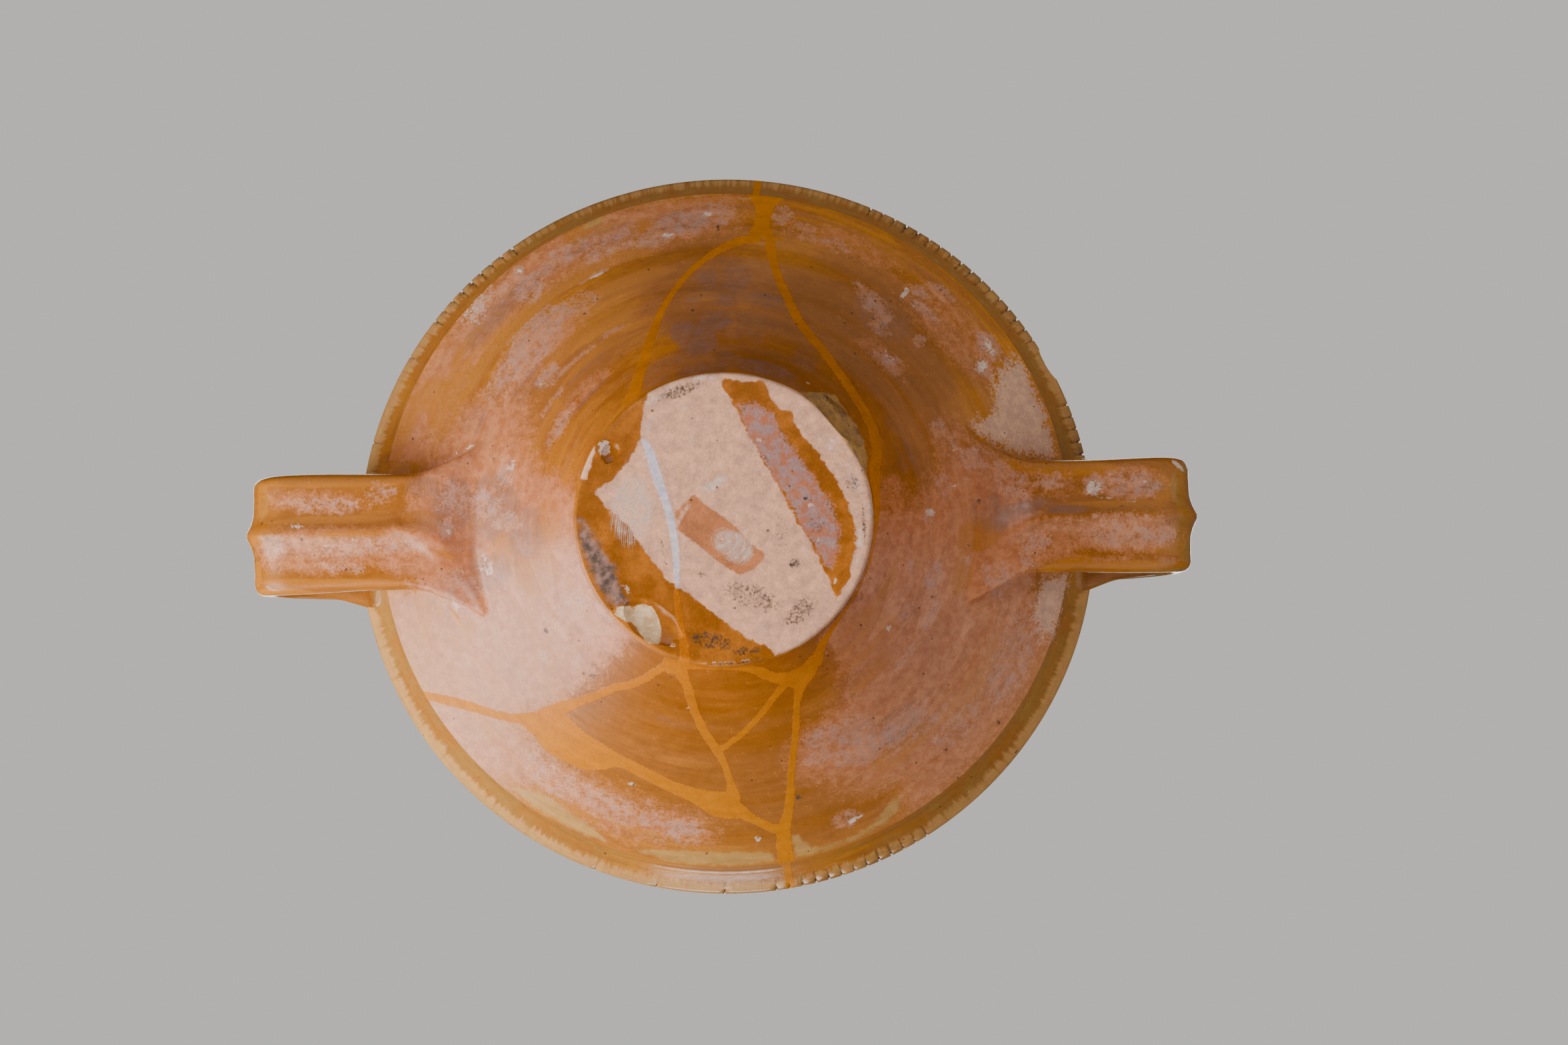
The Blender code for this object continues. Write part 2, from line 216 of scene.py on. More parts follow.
# How finely the pot is cut into facets
SEGMENTS = 540
FOOT_MIDDLE_RADIUS = 0.0012
FOOT_ROW_STEP = 0.00118
FOOT_LAST_ROW_GAP = 0.0002
WALL_ROWS = 78
COLLAR_ROWS = 24
LIP_ROWS = 10
INNER_COLLAR_ROWS = 12
INNER_WALL_ROWS = 26
FLOOR_ROWS = 8
STRAP_STEP = 0.0011
STRAP_BEND_STEPS = 16
STRAP_OUTER_SIDES = 40
STRAP_INNER_SIDES = 14
SMEAR_RADIUS = 0.110
SMEAR_RINGS = 11
SMEAR_PASSES = 26
SMEAR_RINGS_HIGH = 3
WELD_GAP = 0.00003


def lerp(a, b, u):
    return a + (b - a) * u


def smooth(u):
    u = np.clip(u, 0.0, 1.0)
    return u * u * (3.0 - 2.0 * u)


# The turned profile, as in the CAD

def wall_line(sizes):
    """Unit vector up the outer wall, and the wall's length."""
    run = sizes.shoulder_radius - sizes.foot_radius
    rise = sizes.shoulder_height - FOOT_EDGE_HEIGHT
    wall_length = math.hypot(run, rise)
    return run / wall_length, rise / wall_length, wall_length


def wall_point(sizes, u, inset=0.0):
    run, rise, wall_length = wall_line(sizes)
    belly = WALL_BELLY * math.sin(math.pi * min(1.0, max(0.0, u)))
    radius = sizes.foot_radius + run * wall_length * u + rise * (belly - inset)
    height = FOOT_EDGE_HEIGHT + rise * wall_length * u - run * (belly - inset)
    return radius, height


def throwing_ridge(sizes, u):
    wall_length = wall_line(sizes)[2]
    fade_in = smooth(u * wall_length / THROWING_PITCH)
    fade_out = smooth((1.0 - u) * wall_length / THROWING_PITCH)
    return sizes.ridge * fade_in * fade_out * math.sin(2.0 * math.pi * u * wall_length / THROWING_PITCH)


def lip_side_height(sizes):
    return sizes.bowl_height - sizes.lip_thickness / 2


def collar_radius(sizes, height):
    v = (height - sizes.shoulder_height) / (lip_side_height(sizes) - sizes.shoulder_height)
    v = np.clip(v, 0.0, 1.0)
    flare = lerp(sizes.shoulder_radius, sizes.lip_radius, v ** COLLAR_FLARE_POWER)
    return flare - COLLAR_HOLLOW * np.sin(math.pi * v ** COLLAR_HOLLOW_POWER)


def squeeze(sizes, height):
    """How oval the pot is at a height: depth across the handles over width along them."""
    return lerp(FOOT_SQUEEZE, LIP_SQUEEZE, height / sizes.bowl_height)


def turned_rows(sizes):
    """The whole skin from the middle of the foot, up the outside and down the inside.

    Each row is its radius, height and number of points round.
    """
    rows = []
    edge = sizes.foot_radius - FOOT_EDGE_ROUND
    coarse_radius = edge / 2
    for radius in np.arange(FOOT_MIDDLE_RADIUS, coarse_radius, FOOT_ROW_STEP):
        rows.append((radius, 0.0, SEGMENTS // 4))
    for radius in np.arange(coarse_radius, edge - FOOT_LAST_ROW_GAP, FOOT_ROW_STEP):
        rows.append((radius, 0.0, SEGMENTS // 2))
    for turn_deg in (0.0, 22.5, 45.0, 67.5, 90.0):
        turn = math.radians(turn_deg)
        radius = edge + FOOT_EDGE_ROUND * math.sin(turn)
        rows.append((radius, FOOT_EDGE_ROUND * (1.0 - math.cos(turn)), SEGMENTS))
    last = 1.0 - SHOULDER_ROUND / wall_line(sizes)[2]
    for row in range(WALL_ROWS):
        u = last * row / (WALL_ROWS - 1)
        rows.append((*wall_point(sizes, u, -throwing_ridge(sizes, u)), SEGMENTS))
    for row in range(COLLAR_ROWS):
        height = lerp(sizes.shoulder_height + SHOULDER_ROUND, lip_side_height(sizes), row / (COLLAR_ROWS - 1))
        rows.append((collar_radius(sizes, height), height, SEGMENTS))
    half = sizes.lip_thickness / 2
    for row in range(1, LIP_ROWS):
        turn = math.pi * row / LIP_ROWS
        radius = sizes.lip_radius - half + half * math.cos(turn)
        rows.append((radius, lip_side_height(sizes) + half * math.sin(turn), SEGMENTS))
    low = wall_point(sizes, 1.0, sizes.wall_thickness)[1] + sizes.collar_thickness
    for row in range(INNER_COLLAR_ROWS):
        v = row / (INNER_COLLAR_ROWS - 1)
        height = lerp(lip_side_height(sizes), low, v)
        thickness = lerp(sizes.lip_thickness, sizes.collar_thickness, smooth(v * 3.0))
        rows.append((collar_radius(sizes, height) - thickness, height, SEGMENTS // 2))
    start = 1.0 - sizes.collar_thickness / wall_line(sizes)[2]
    end = FLOOR_FILLET / wall_line(sizes)[2]
    for row in range(INNER_WALL_ROWS):
        u = lerp(start, end, row / (INNER_WALL_ROWS - 1))
        rows.append((*wall_point(sizes, u, sizes.wall_thickness), SEGMENTS // 2))
    edge_radius, edge_height = rows[-1][:2]
    for row in range(1, FLOOR_ROWS + 1):
        u = row / FLOOR_ROWS
        height = lerp(sizes.floor_thickness, edge_height, (1.0 - u) ** 2)
        rows.append((edge_radius - 2.0 * FLOOR_FILLET * u, height, SEGMENTS // 4))
    return rows


def notch_places():
    """The angle of every notch, and the share of the full depth it is pressed to."""
    wanted = [(angle, 0.5) for angle in LONE_NOTCHES_DEG]
    for start, end in NOTCH_RUNS_DEG:
        count = int((end - start) / NOTCH_PITCH_DEG) + 1
        wanted.extend((start + NOTCH_PITCH_DEG * i, 0.75 + 0.25 * math.sin(5.0 * i)) for i in range(count))
    return wanted


def notch_table(sizes):
    """Warped angles of a lip row, and the notch's depth at each of them."""
    step = 2.0 * math.pi / SEGMENTS
    angles = np.arange(SEGMENTS) * step
    depths = np.zeros(SEGMENTS)
    half = math.radians(NOTCH_HALF_WIDTH_DEG)
    for angle_deg, share in notch_places():
        angle = math.radians(angle_deg)
        middle = round(angle / step)
        for side in (-1, 0, 1):
            angles[(middle + side) % SEGMENTS] = angle + side * half
        depths[middle % SEGMENTS] = sizes.notch_depth * share
    return angles, depths


def ring_relief(theta, radius_mm):
    """Fine ring lines and finger ripple on the outer wall, in mm."""
    relief = np.zeros_like(theta)
    for index, (ring, high, half) in enumerate(RING_LINES_MM):
        wander = 0.35 * np.sin(theta + index) + 0.2 * np.sin(3.0 * theta + 2.0 * index)
        fade = 0.65 + 0.35 * np.sin(2.0 * theta + 1.7 * index)
        relief += high * fade * np.exp(-((radius_mm - ring - wander) / half) ** 2)
    sway = 1.3 * np.sin(theta)
    ripple = np.sin(2.0 * math.pi * radius_mm / RIPPLE_PITCH_MM + sway + np.sin(2.0 * theta + 0.8))
    patchy = 0.6 + 0.4 * np.sin(3.0 * theta + radius_mm / 9.0)
    return RING_LEFT_SHARE * relief + RIPPLE_HEIGHT_MM * ripple * patchy


def turned_mesh(sizes):
    """The pot as one closed skin, with its rings, notches and collar groove in the mesh."""
    rows = turned_rows(sizes)
    radii = np.array([row[0] for row in rows])
    heights = np.array([row[1] for row in rows])
    counts = [row[2] for row in rows]
    tangent_r = np.gradient(radii)
    tangent_z = np.gradient(heights)
    size = np.hypot(tangent_r, tangent_z)
    lip_angles, notch_depths = notch_table(sizes)
    crown = int(np.argmax(heights))
    mesh = bmesh.new()
    rings = []
    for index, (radius, height, count) in enumerate(rows):
        regular = np.arange(count) * 2.0 * math.pi / count
        theta = regular
        push = np.zeros(count)
        on_outside = index <= crown
        if count == SEGMENTS:
            near_lip = smooth((height - sizes.bowl_height + 2.0 * NOTCH_LENGTH) / NOTCH_LENGTH)
            theta = regular + (lip_angles - regular) * near_lip
            over_lip = 1.0 if on_outside else max(0.0, 1.0 - (index - crown) / 3.0)
            notched = smooth((height - sizes.bowl_height + NOTCH_LENGTH) / (0.25 * NOTCH_LENGTH))
            push = push - notch_depths * notched * over_lip
        if on_outside and FOOT_EDGE_HEIGHT < height < sizes.shoulder_height:
            push = push + ring_relief(theta, radius / MM) * MM
        if on_outside and height >= sizes.shoulder_height:
            groove = math.exp(-((height - COLLAR_GROOVE_HEIGHT) / COLLAR_GROOVE_HALF_WIDTH) ** 2)
            push = push - COLLAR_GROOVE_DEPTH * groove
        if on_outside and height < FOOT_EDGE_ROUND / 2:
            ripple = np.sin(2.0 * math.pi * radius / FOOT_MARK_PITCH + np.sin(theta))
            push = push + (ripple - 1.0) * FOOT_MARK_DEPTH / 2 * smooth(radius / 0.01)
        normal_r = tangent_z[index] / size[index]
        normal_z = -tangent_r[index] / size[index]
        ring = []
        for turn, out in zip(theta, push):
            r = radius + normal_r * out
            y = r * math.sin(turn) * squeeze(sizes, height)
            ring.append(mesh.verts.new((r * math.cos(turn), y, height + normal_z * min(out, 0.0005))))
        rings.append(ring)
    for near, far, near_count, far_count in zip(rings, rings[1:], counts, counts[1:]):
        stitch(mesh, near, far, near_count, far_count)
    for ring, height in ((rings[0], 0.0), (rings[-1], sizes.floor_thickness)):
        middle = mesh.verts.new((0.0, 0.0, height))
        for step in range(len(ring)):
            mesh.faces.new((ring[step], ring[(step + 1) % len(ring)], middle))
    return mesh


def stitch(mesh, near, far, near_count, far_count):
    """Join two rings of equal length, or one ring to one with half as many points."""
    if near_count == far_count:
        for step in range(near_count):
            after = (step + 1) % near_count
            mesh.faces.new((near[step], near[after], far[after], far[step]))
        return
    fine, coarse = (near, far) if near_count > far_count else (far, near)
    for step in range(len(coarse)):
        first = fine[2 * step]
        second = fine[2 * step + 1]
        third = fine[(2 * step + 2) % len(fine)]
        mesh.faces.new((first, second, coarse[step]))
        mesh.faces.new((second, third, coarse[(step + 1) % len(coarse)], coarse[step]))


# The strap handles

def arc_points(before, corner, after, bend, count):
    back = (before - corner).normalized()
    ahead = (after - corner).normalized()
    half_angle = back.angle(ahead) / 2.0
    reach = bend / math.tan(half_angle)
    centre = corner + (back + ahead).normalized() * bend / math.sin(half_angle)
    start = corner + back * reach - centre
    sweep = start.angle_signed(corner + ahead * reach - centre)
    return [centre + Matrix.Rotation(-sweep * i / count, 2) @ start for i in range(count + 1)]


def handle_route(sizes, shorter):
    """Middle line of the strap in the plane of radius and height, evenly spaced."""
    root_height = sizes.shoulder_height - HANDLE_ROOT_BELOW_SHOULDER
    root_share = (root_height - FOOT_EDGE_HEIGHT) / (sizes.shoulder_height - FOOT_EDGE_HEIGHT)
    root = Vector(wall_point(sizes, root_share, sizes.wall_thickness / 2))
    outer = sizes.lip_radius + sizes.handle_reach - shorter - sizes.strap_rib - sizes.strap_thickness / 2
    low = Vector((outer, sizes.shoulder_height - HANDLE_LOW_BELOW_SHOULDER))
    high = Vector((outer, sizes.bowl_height - HANDLE_HIGH_BELOW_LIP))
    top_height = sizes.bowl_height - HANDLE_TOP_BELOW_LIP
    top = Vector((collar_radius(sizes, top_height) - sizes.collar_thickness / 2, top_height))
    corners = [root]
    corners += arc_points(root, low, high, HANDLE_LOW_BEND, STRAP_BEND_STEPS)
    corners += arc_points(low, high, top, HANDLE_HIGH_BEND, STRAP_BEND_STEPS)
    corners += [top]
    line = np.array([tuple(corner) for corner in corners])
    walked = np.concatenate(([0.0], np.cumsum(np.linalg.norm(np.diff(line, axis=0), axis=1))))
    stops = np.linspace(0.0, walked[-1], int(walked[-1] / STRAP_STEP))
    return np.stack((np.interp(stops, walked, line[:, 0]), np.interp(stops, walked, line[:, 1])), 1), stops


def strap_mesh(sizes, handle):
    """One closed strap, with its rib, hollow flutes and beaded edges."""
    route, walked = handle_route(sizes, handle["shorter"])
    along = np.gradient(route, axis=0)
    along /= np.linalg.norm(along, axis=1)[:, None]
    plain_width = sizes.strap_width - handle["slimmer"]
    outer_sides = np.sin(np.linspace(-math.pi / 2, math.pi / 2, STRAP_OUTER_SIDES))
    inner_sides = np.sin(np.linspace(math.pi / 2, -math.pi / 2, STRAP_INNER_SIDES + 2))[1:-1]
    mesh = bmesh.new()
    rings = []
    for index, (radius, height) in enumerate(route):
        root_share = 1.0 - smooth(walked[index] / ROOT_FLARE_LENGTH)
        top_share = 1.0 - smooth((walked[-1] - walked[index]) / TOP_FLARE_LENGTH)
        width = lerp(lerp(plain_width, ROOT_FLARE_WIDTH, root_share), TOP_FLARE_WIDTH, top_share)
        thinning = (1.0 - ROOT_THINNING * root_share ** 2) * (1.0 - TOP_THINNING * top_share)
        half_thick = sizes.strap_thickness / 2 * thinning
        root_hug = 1.0 - smooth((walked[index] - ROOT_HUG_START) / (ROOT_HUG_END - ROOT_HUG_START))
        hug = max(root_hug, top_share)
        rib_height = sizes.strap_rib * (1.0 - root_share)
        ring = []
        for side, is_outer in [(s, True) for s in outer_sides] + [(s, False) for s in inner_sides]:
            fullness = math.sqrt(max(0.0, 1.0 - abs(side) ** STRAP_SQUARENESS))
            across = side * width / 2
            lift = -half_thick * fullness
            if is_outer:
                off_rib = math.hypot(across, STRAP_RIB_ROUND) / STRAP_RIB_HALF_WIDTH
                spine = rib_height * max(0.0, 1.0 - off_rib) ** STRAP_RIB_SHARPNESS
                bead = 1.0 - smooth(width / 2 * (1.0 - abs(side)) / STRAP_EDGE_BEAD_WIDTH)
                lift = spine + (half_thick + STRAP_EDGE_BEAD * bead) * fullness
                across += handle["sweep"] * root_share * (1.0 - side * side)
            swing = math.sin(walked[index] / STRAP_WANDER_LENGTH + 2.0 * side)
            wander = STRAP_WANDER * swing * (1.0 - root_share)
            x = radius + along[index][1] * lift
            z = height - along[index][0] * lift
            x -= hug * across * across / (2.0 * x)
            ring.append(mesh.verts.new((x, across + wander, z)))
        rings.append(ring)
    for near, far in zip(rings, rings[1:]):
        stitch(mesh, near, far, len(near), len(far))
    mesh.faces.new(rings[0])
    mesh.faces.new(rings[-1])
    turn = Matrix.Rotation(math.radians(handle["angle_deg"]), 4, "Z")
    bmesh.ops.transform(mesh, matrix=turn, verts=mesh.verts)
    return mesh


# Chips broken out of the edges

def rough_bite(mesh, place, across, along, down):
    """A rounded bite with the shell-like steps of broken earthenware."""
    made = bmesh.ops.create_icosphere(mesh, subdivisions=4, radius=1.0)
    for vert in made["verts"]:
        grain = sum(noise.noise(vert.co * fineness) * high for fineness, high in BREAK_GRAIN)
        vert.co = Vector(c * (1.0 + grain) * s for c, s in zip(vert.co, (across, along, down)))
        vert.co = place @ vert.co


def damage_mesh(sizes):
    mesh = bmesh.new()
    bites = [(LIP_CHIP, sizes.lip_radius, sizes.bowl_height)]
    bites += [(chip, sizes.foot_radius, 0.0) for chip in (FOOT_SLIVER, FOOT_FLAKE, FOOT_PIT)]
    for (angle_deg, inside, across, along, down), edge, height in bites:
        turn = math.radians(angle_deg)
        radius = edge - inside
        spot = Vector((radius * math.cos(turn), radius * math.sin(turn) * squeeze(sizes, height), height))
        rough_bite(mesh, Matrix.Translation(spot) @ Matrix.Rotation(turn, 4, "Z"), across, along, down)
    chipped = HANDLES[0]
    end = sizes.lip_radius + sizes.handle_reach - chipped["shorter"]
    side = (sizes.strap_width - chipped["slimmer"]) / 2
    low = sizes.shoulder_height - HANDLE_LOW_BELOW_SHOULDER
    high = sizes.bowl_height - HANDLE_HIGH_BELOW_LIP
    turn = Matrix.Rotation(math.radians(chipped["angle_deg"]), 4, "Z")
    slant = Matrix.Rotation(math.radians(-CORNER_CHIP_SLANT_DEG), 4, "Z")
    place = turn @ Matrix.Translation((end, -side, (low + high) / 2)) @ slant
    rough_bite(mesh, place, *CORNER_CHIP)
    return mesh


def as_object(name, mesh, material_index, slots=3):
    bmesh.ops.recalc_face_normals(mesh, faces=mesh.faces)
    data = bpy.data.meshes.new(name)
    mesh.to_mesh(data)
    mesh.free()
    for _ in range(slots):
        data.materials.append(None)
    data.polygons.foreach_set("material_index", np.full(len(data.polygons), material_index, dtype=np.int32))
    made = bpy.data.objects.new(name, data)
    bpy.context.scene.collection.objects.link(made)
    return made


def carved(target, operands):
    """Run the Booleans, keep their result as the target's mesh and remove the operands."""
    for operand, operation in operands:
        modifier = target.modifiers.new(operand.name, "BOOLEAN")
        modifier.object = operand
        modifier.operation = operation
        modifier.solver = "EXACT"
    bpy.context.view_layer.update()
    evaluated = target.evaluated_get(bpy.context.evaluated_depsgraph_get())
    result = bpy.data.meshes.new_from_object(evaluated)
    target.modifiers.clear()
    old = target.data
    target.data = result
    bpy.data.meshes.remove(old)
    for operand, _ in operands:
        spent = operand.data
        bpy.data.objects.remove(operand, do_unlink=True)
        bpy.data.meshes.remove(spent)


def soften_joins(data, rings, passes):
    """Smear the clay where straps meet the wall: relax the points near the join, widest low down."""
    mesh = bmesh.new()
    mesh.from_mesh(data)
    bmesh.ops.remove_doubles(mesh, verts=mesh.verts, dist=WELD_GAP)
    near = set()
    for edge in mesh.edges:
        kinds = {face.material_index for face in edge.link_faces}
        if kinds == {0, 1}:
            near.update(edge.verts)
    weight = {vert: 1.0 for vert in near}
    front = near
    for ring in range(1, rings):
        front = {edge.other_vert(vert) for vert in front for edge in vert.link_edges} - set(weight)
        low = {vert for vert in front if vert.co.xy.length < SMEAR_RADIUS}
        weight.update((vert, 1.0 - ring / rings) for vert in low)
        weight.update((vert, max(0.0, 1.0 - ring / SMEAR_RINGS_HIGH)) for vert in front - low)
    for _ in range(passes):
        moved = {}
        for vert, share in weight.items():
            middle = Vector()
            for edge in vert.link_edges:
                middle += edge.other_vert(vert).co
            moved[vert] = vert.co.lerp(middle / len(vert.link_edges), 0.5 * share)
        for vert, place in moved.items():
            vert.co = place
    mesh.to_mesh(data)
    mesh.free()


# Marks on the surface. Places on the wall are (angle in degrees, radius in mm), and places
# under the foot and on the handles are (x, y) in mm as seen from below.

# The least a mark can be: soft patches, shapes in mm, and lines far away from a place
OUTSIDE = -0.5
NOWHERE = -9.0
FAR_OUTSIDE = -99.0
# What tells the foot, the inside, the handles and the wall apart
FOOT_FACE_TOP = 0.0032
INSIDE_DEPTH = 0.0045
INSIDE_FLOOR_SHARE = 0.6
HANDLE_STANDS_OFF = 0.003
WALL_MARKS_PAST_SHOULDER = 0.002
# Where the straps hide or change the wall's marks: along the handles and to each side
STRAP_ZONE_FROM_MM = 80.0
STRAP_ZONE_HALF_MM = 36.0
STRAP_ZONE_BELOW_TOP = 0.02
STRAP_STREAKS_FROM_MM = 96.0
STRAP_STREAKS_FADE_MM = 18.0
STRAP_SIDE_FADE_MM = 6.0
STRAP_MEETS_COLLAR_MM = 118.0
STRAP_MEETS_COLLAR_HALF_MM = 26.0
ROOT_HALF_MM = 24.0
ROOT_BEYOND_MM = 114.0
ROOT_FADE_MM = 14.0
# The most that worn glaze can be told from sound glaze, and how deep the straps' glaze lies, set deep partly
# as painted shade
SALMON_LIMIT = 8.0
DEEP_AND_SHADE_ON_HANDLES = 3.0
# Where foot and shoulder are worn (the pale line at the shoulder is also a painted highlight), where the lip
# is bare and where it is still glazed, where the collar is browner, and how far glaze has pooled in the
# notches
SLIVER_TOP = 0.012
FLAKE_TOP = 0.01
FLAKE_REACH_MM = 53.0
SHOULDER_EDGE_ABOVE = 0.0003
SHOULDER_WEAR_AND_HIGHLIGHT_MM = 0.75
WORN_RIM_FROM_MM = 47.4
WORN_RIM_UP_TO_DEG = 60.0
BARE_LIP_FROM = 0.0825
BARE_LIP_FADE = 0.008
WHOLE_LIP_DEG = 268.0
WHOLE_LIP_HALF_DEG = 46.0
BROWN_COLLAR_DEG = (86.0, 208.0)
BROWN_HALF_DEG = 22.0
COLLAR_FILLS_FROM_MM = 122.0
POOLED_HALF_DEG = 0.3
POOLED_NOTCH_LENGTHS = 1.6
# Millimetres round the pot for each degree, at the collar and in the middle of the wall
COLLAR_MM_PER_DEG = 2.3
WALL_MM_PER_DEG = 1.5


def polar(points):
    """Angles and radii as plan x and y, keeping any further values."""
    turned = [(math.radians(p[0]), p[1], p[2:]) for p in points]
    return [(r * math.cos(turn), r * math.sin(turn), *rest) for turn, r, rest in turned]


def band(places, points):
    """How deep each place lies inside a line whose points are x, y and half width."""
    best = np.full(len(places), FAR_OUTSIDE)
    for (ax, ay, aw), (bx, by, bw) in zip(points, points[1:]):
        start = np.array((ax, ay))
        run = np.array((bx - ax, by - ay))
        share = np.clip(((places - start) @ run) / max(run @ run, 1e-9), 0.0, 1.0)
        gap = np.linalg.norm(places - start - share[:, None] * run, axis=1)
        best = np.maximum(best, aw + (bw - aw) * share - gap)
    return best


def area(places, corners):
    """How deep each place lies inside a closed outline, negative outside."""
    closed = list(corners) + [corners[0]]
    line = band(places, [(x, y, 0.0) for x, y in closed])
    inside = np.zeros(len(places), dtype=bool)
    for (ax, ay), (bx, by) in zip(closed, closed[1:]):
        crosses = (ay > places[:, 1]) != (by > places[:, 1])
        at = ax + (places[:, 1] - ay) * (bx - ax) / (by - ay if by != ay else 1e-9)
        inside ^= crosses & (places[:, 0] < at)
    return np.where(inside, -line, line)


def wall_area(places, corners):
    """The same for an outline given as angles and radii, unrolled from the wall."""
    middle = sum(corner[0] for corner in corners) / len(corners)
    angle = np.degrees(np.arctan2(places[:, 1], places[:, 0]))
    turn = (angle - middle + 180.0) % 360.0 - 180.0
    unrolled = np.stack((turn * WALL_MM_PER_DEG, np.linalg.norm(places, axis=1)), axis=1)
    return area(unrolled, [((at - middle) * WALL_MM_PER_DEG, radius) for at, radius in corners])


def deepest(places, shape, outlines):
    """The deepest of several shapes at each place."""
    return np.max([shape(places, outline) for outline in outlines], axis=0)


def patches(places, spots):
    """Soft oval patches: x, y, half length, half width, slant in degrees and strength."""
    total = np.full(len(places), OUTSIDE)
    for x, y, half_long, half_wide, slant_deg, strength in spots:
        turn = math.radians(slant_deg)
        dx = places[:, 0] - x
        dy = places[:, 1] - y
        u = (dx * math.cos(turn) + dy * math.sin(turn)) / half_long
        v = (dy * math.cos(turn) - dx * math.sin(turn)) / half_wide
        total = np.maximum(total, lerp(OUTSIDE, strength, smooth(1.6 - np.hypot(u, v))))
    return total


def wall_patches(places, spots):
    """Soft patches on the wall: angle, radius, half angle, half width across and strength."""
    angle = np.degrees(np.arctan2(places[:, 1], places[:, 0]))
    radius = np.linalg.norm(places, axis=1)
    total = np.full(len(places), OUTSIDE)
    for at, ring, half_deg, half_mm, strength in spots:
        turn = (angle - at + 180.0) % 360.0 - 180.0
        near = smooth(1.6 - np.hypot(turn / half_deg, (radius - ring) / half_mm))
        total = np.maximum(total, lerp(OUTSIDE, strength, near))
    return total


FILL_LINES = (
    ((276, 103, 1.5), (273, 102, 1.6), (270, 99.5, 1.4), (266, 95, 1.1), (262, 90, 1.0), (258, 84, 1.0),
     (254, 78, 1.1), (250, 71, 1.4), (247, 66.5, 1.6), (244, 62, 1.7), (240, 58, 1.8), (236, 54, 2.2),
     (231, 51, 2.5)),
    ((278.5, 104, 1.6), (279.5, 98, 1.5), (281, 92, 1.4), (283, 87, 1.5), (286, 81, 1.5), (290, 75, 1.6),
     (295, 71, 1.5), (300, 68.5, 1.4), (306, 65.5, 1.4), (313, 63, 1.5), (320, 61.5, 1.5), (328, 60, 1.6),
     (335, 57.5, 1.8), (340, 54.8, 1.8), (346, 53, 1.7), (352, 52, 1.5), (360, 51.6, 1.1), (377, 51.2, 0.9),
     (390, 51.6, 0.7), (405, 52.5, 0.7), (412, 54.5, 1.2), (417, 58, 2.0)),
    ((68, 59.5, 2.4), (72, 57.5, 1.8), (76, 54.5, 1.7), (80, 52.3, 1.2), (85, 51.3, 0.9), (91, 51, 0.9),
     (97, 51, 1.0), (104, 52, 1.4)),
    ((65, 62, 2.0), (68.5, 68, 1.1), (70.5, 74, 1.2), (72.3, 80, 1.1), (74.2, 86, 1.2), (75.6, 92, 1.2),
     (76.6, 98, 1.5), (77.8, 104, 1.6), (79.2, 109, 2.2), (79.7, 115, 2.6), (79.8, 122, 2.9)),
    ((69, 60, 1.4), (73, 62.5, 1.1), (77, 66, 1.0), (81, 70, 1.0), (85, 74, 1.0), (90, 78.5, 1.0),
     (92, 79, 1.2)),
    ((106, 54, 2.2), (102.5, 58, 1.6), (99, 66, 1.5), (95, 74, 1.4), (92, 79, 1.6), (90, 84, 1.2),
     (88.8, 90, 1.2), (88, 96, 2.2)),
    ((90, 98.5, 4.2), (87.5, 100.5, 2.6), (84.5, 104.5, 1.5), (82, 107.5, 1.5), (79.5, 110, 1.8)),
    ((111, 54, 1.6), (113.5, 57, 1.3), (116, 61, 1.4), (119, 65, 1.3), (123, 69, 1.4), (126, 75, 1.5),
     (128.5, 80, 1.6), (131, 86, 2.4), (133, 92, 2.4)),
    ((134, 95, 2.4), (137, 100, 1.5), (140, 104, 1.4), (144, 109, 1.5), (147, 114, 1.7), (149.5, 119, 1.4),
     (150.5, 121.5, 1.4)),
)
FILL_AREAS = (
    ((274, 102.8), (275.2, 108), (275.4, 114), (274.5, 119), (272.8, 122), (280.2, 122), (278.4, 118),
     (278, 110), (279, 105.5), (281.5, 104.2), (277.5, 104)),
    ((55.8, 57), (58, 60.5), (61, 62.5), (64, 64), (67, 63.5), (70, 60.5), (72, 58), (69, 57), (62, 57),
     (57.5, 55.5)),
    ((104, 51), (113, 51), (112.5, 54), (110, 56.3), (106.5, 56), (103, 57)),
    ((88, 94), (93, 94), (97, 93), (101, 92), (105, 90.5), (110, 89), (113, 88.6), (118, 88), (124, 87.5),
     (128, 86.5), (131, 86), (133, 91), (136.5, 98.5), (134, 99.5), (131, 99.5), (129, 100.7), (126, 100.9),
     (122.5, 100), (119, 99), (116, 96), (114, 93.6), (112, 92.6), (108, 93.6), (104, 95), (100, 96.6),
     (97, 98.2), (95, 100), (92, 103), (88, 104)),
)
# Where fills cross the collar: angle, and half width in mm
COLLAR_FILLS = ((274.8, 1.3), (80.0, 1.6))
FOOT_CRACK = ((-16, 23, 0.7), (-15.4, 30, 1.1), (-14.2, 38, 1.2), (-13.2, 44, 1.5), (-12.8, 51, 1.7))

CREAM_AREAS = (
    ((110.5, 119.4), (113, 117), (117, 115.3), (121, 114.2), (124.5, 114.7), (127, 116.6), (128.6, 119.3),
     (124, 120), (117, 120), (112, 120)),
    ((81.8, 120), (81.6, 117.5), (84, 116.6), (89, 115.6), (94, 115.6), (98, 116.6), (102, 117.6),
     (105.5, 119.3), (100, 120.3), (90, 120.5)),
    ((57.7, 114), (59, 113.4), (61, 114.3), (62.3, 116.5), (65, 118), (70, 119), (75, 118.4), (76.3, 115),
     (76.9, 112.3), (78, 112.3), (78, 120.2), (70, 120.3), (62.5, 119.4), (59, 117.6)),
    ((245, 121), (245.6, 118.6), (247.3, 117.4), (248.8, 119), (249, 121)),
)
SLIVER_AREA = (
    (300, 50.6), (304, 53), (311, 57.6), (317, 56.4), (326, 55.6), (335, 53.6), (344, 50.6), (330, 49),
    (312, 49),
)
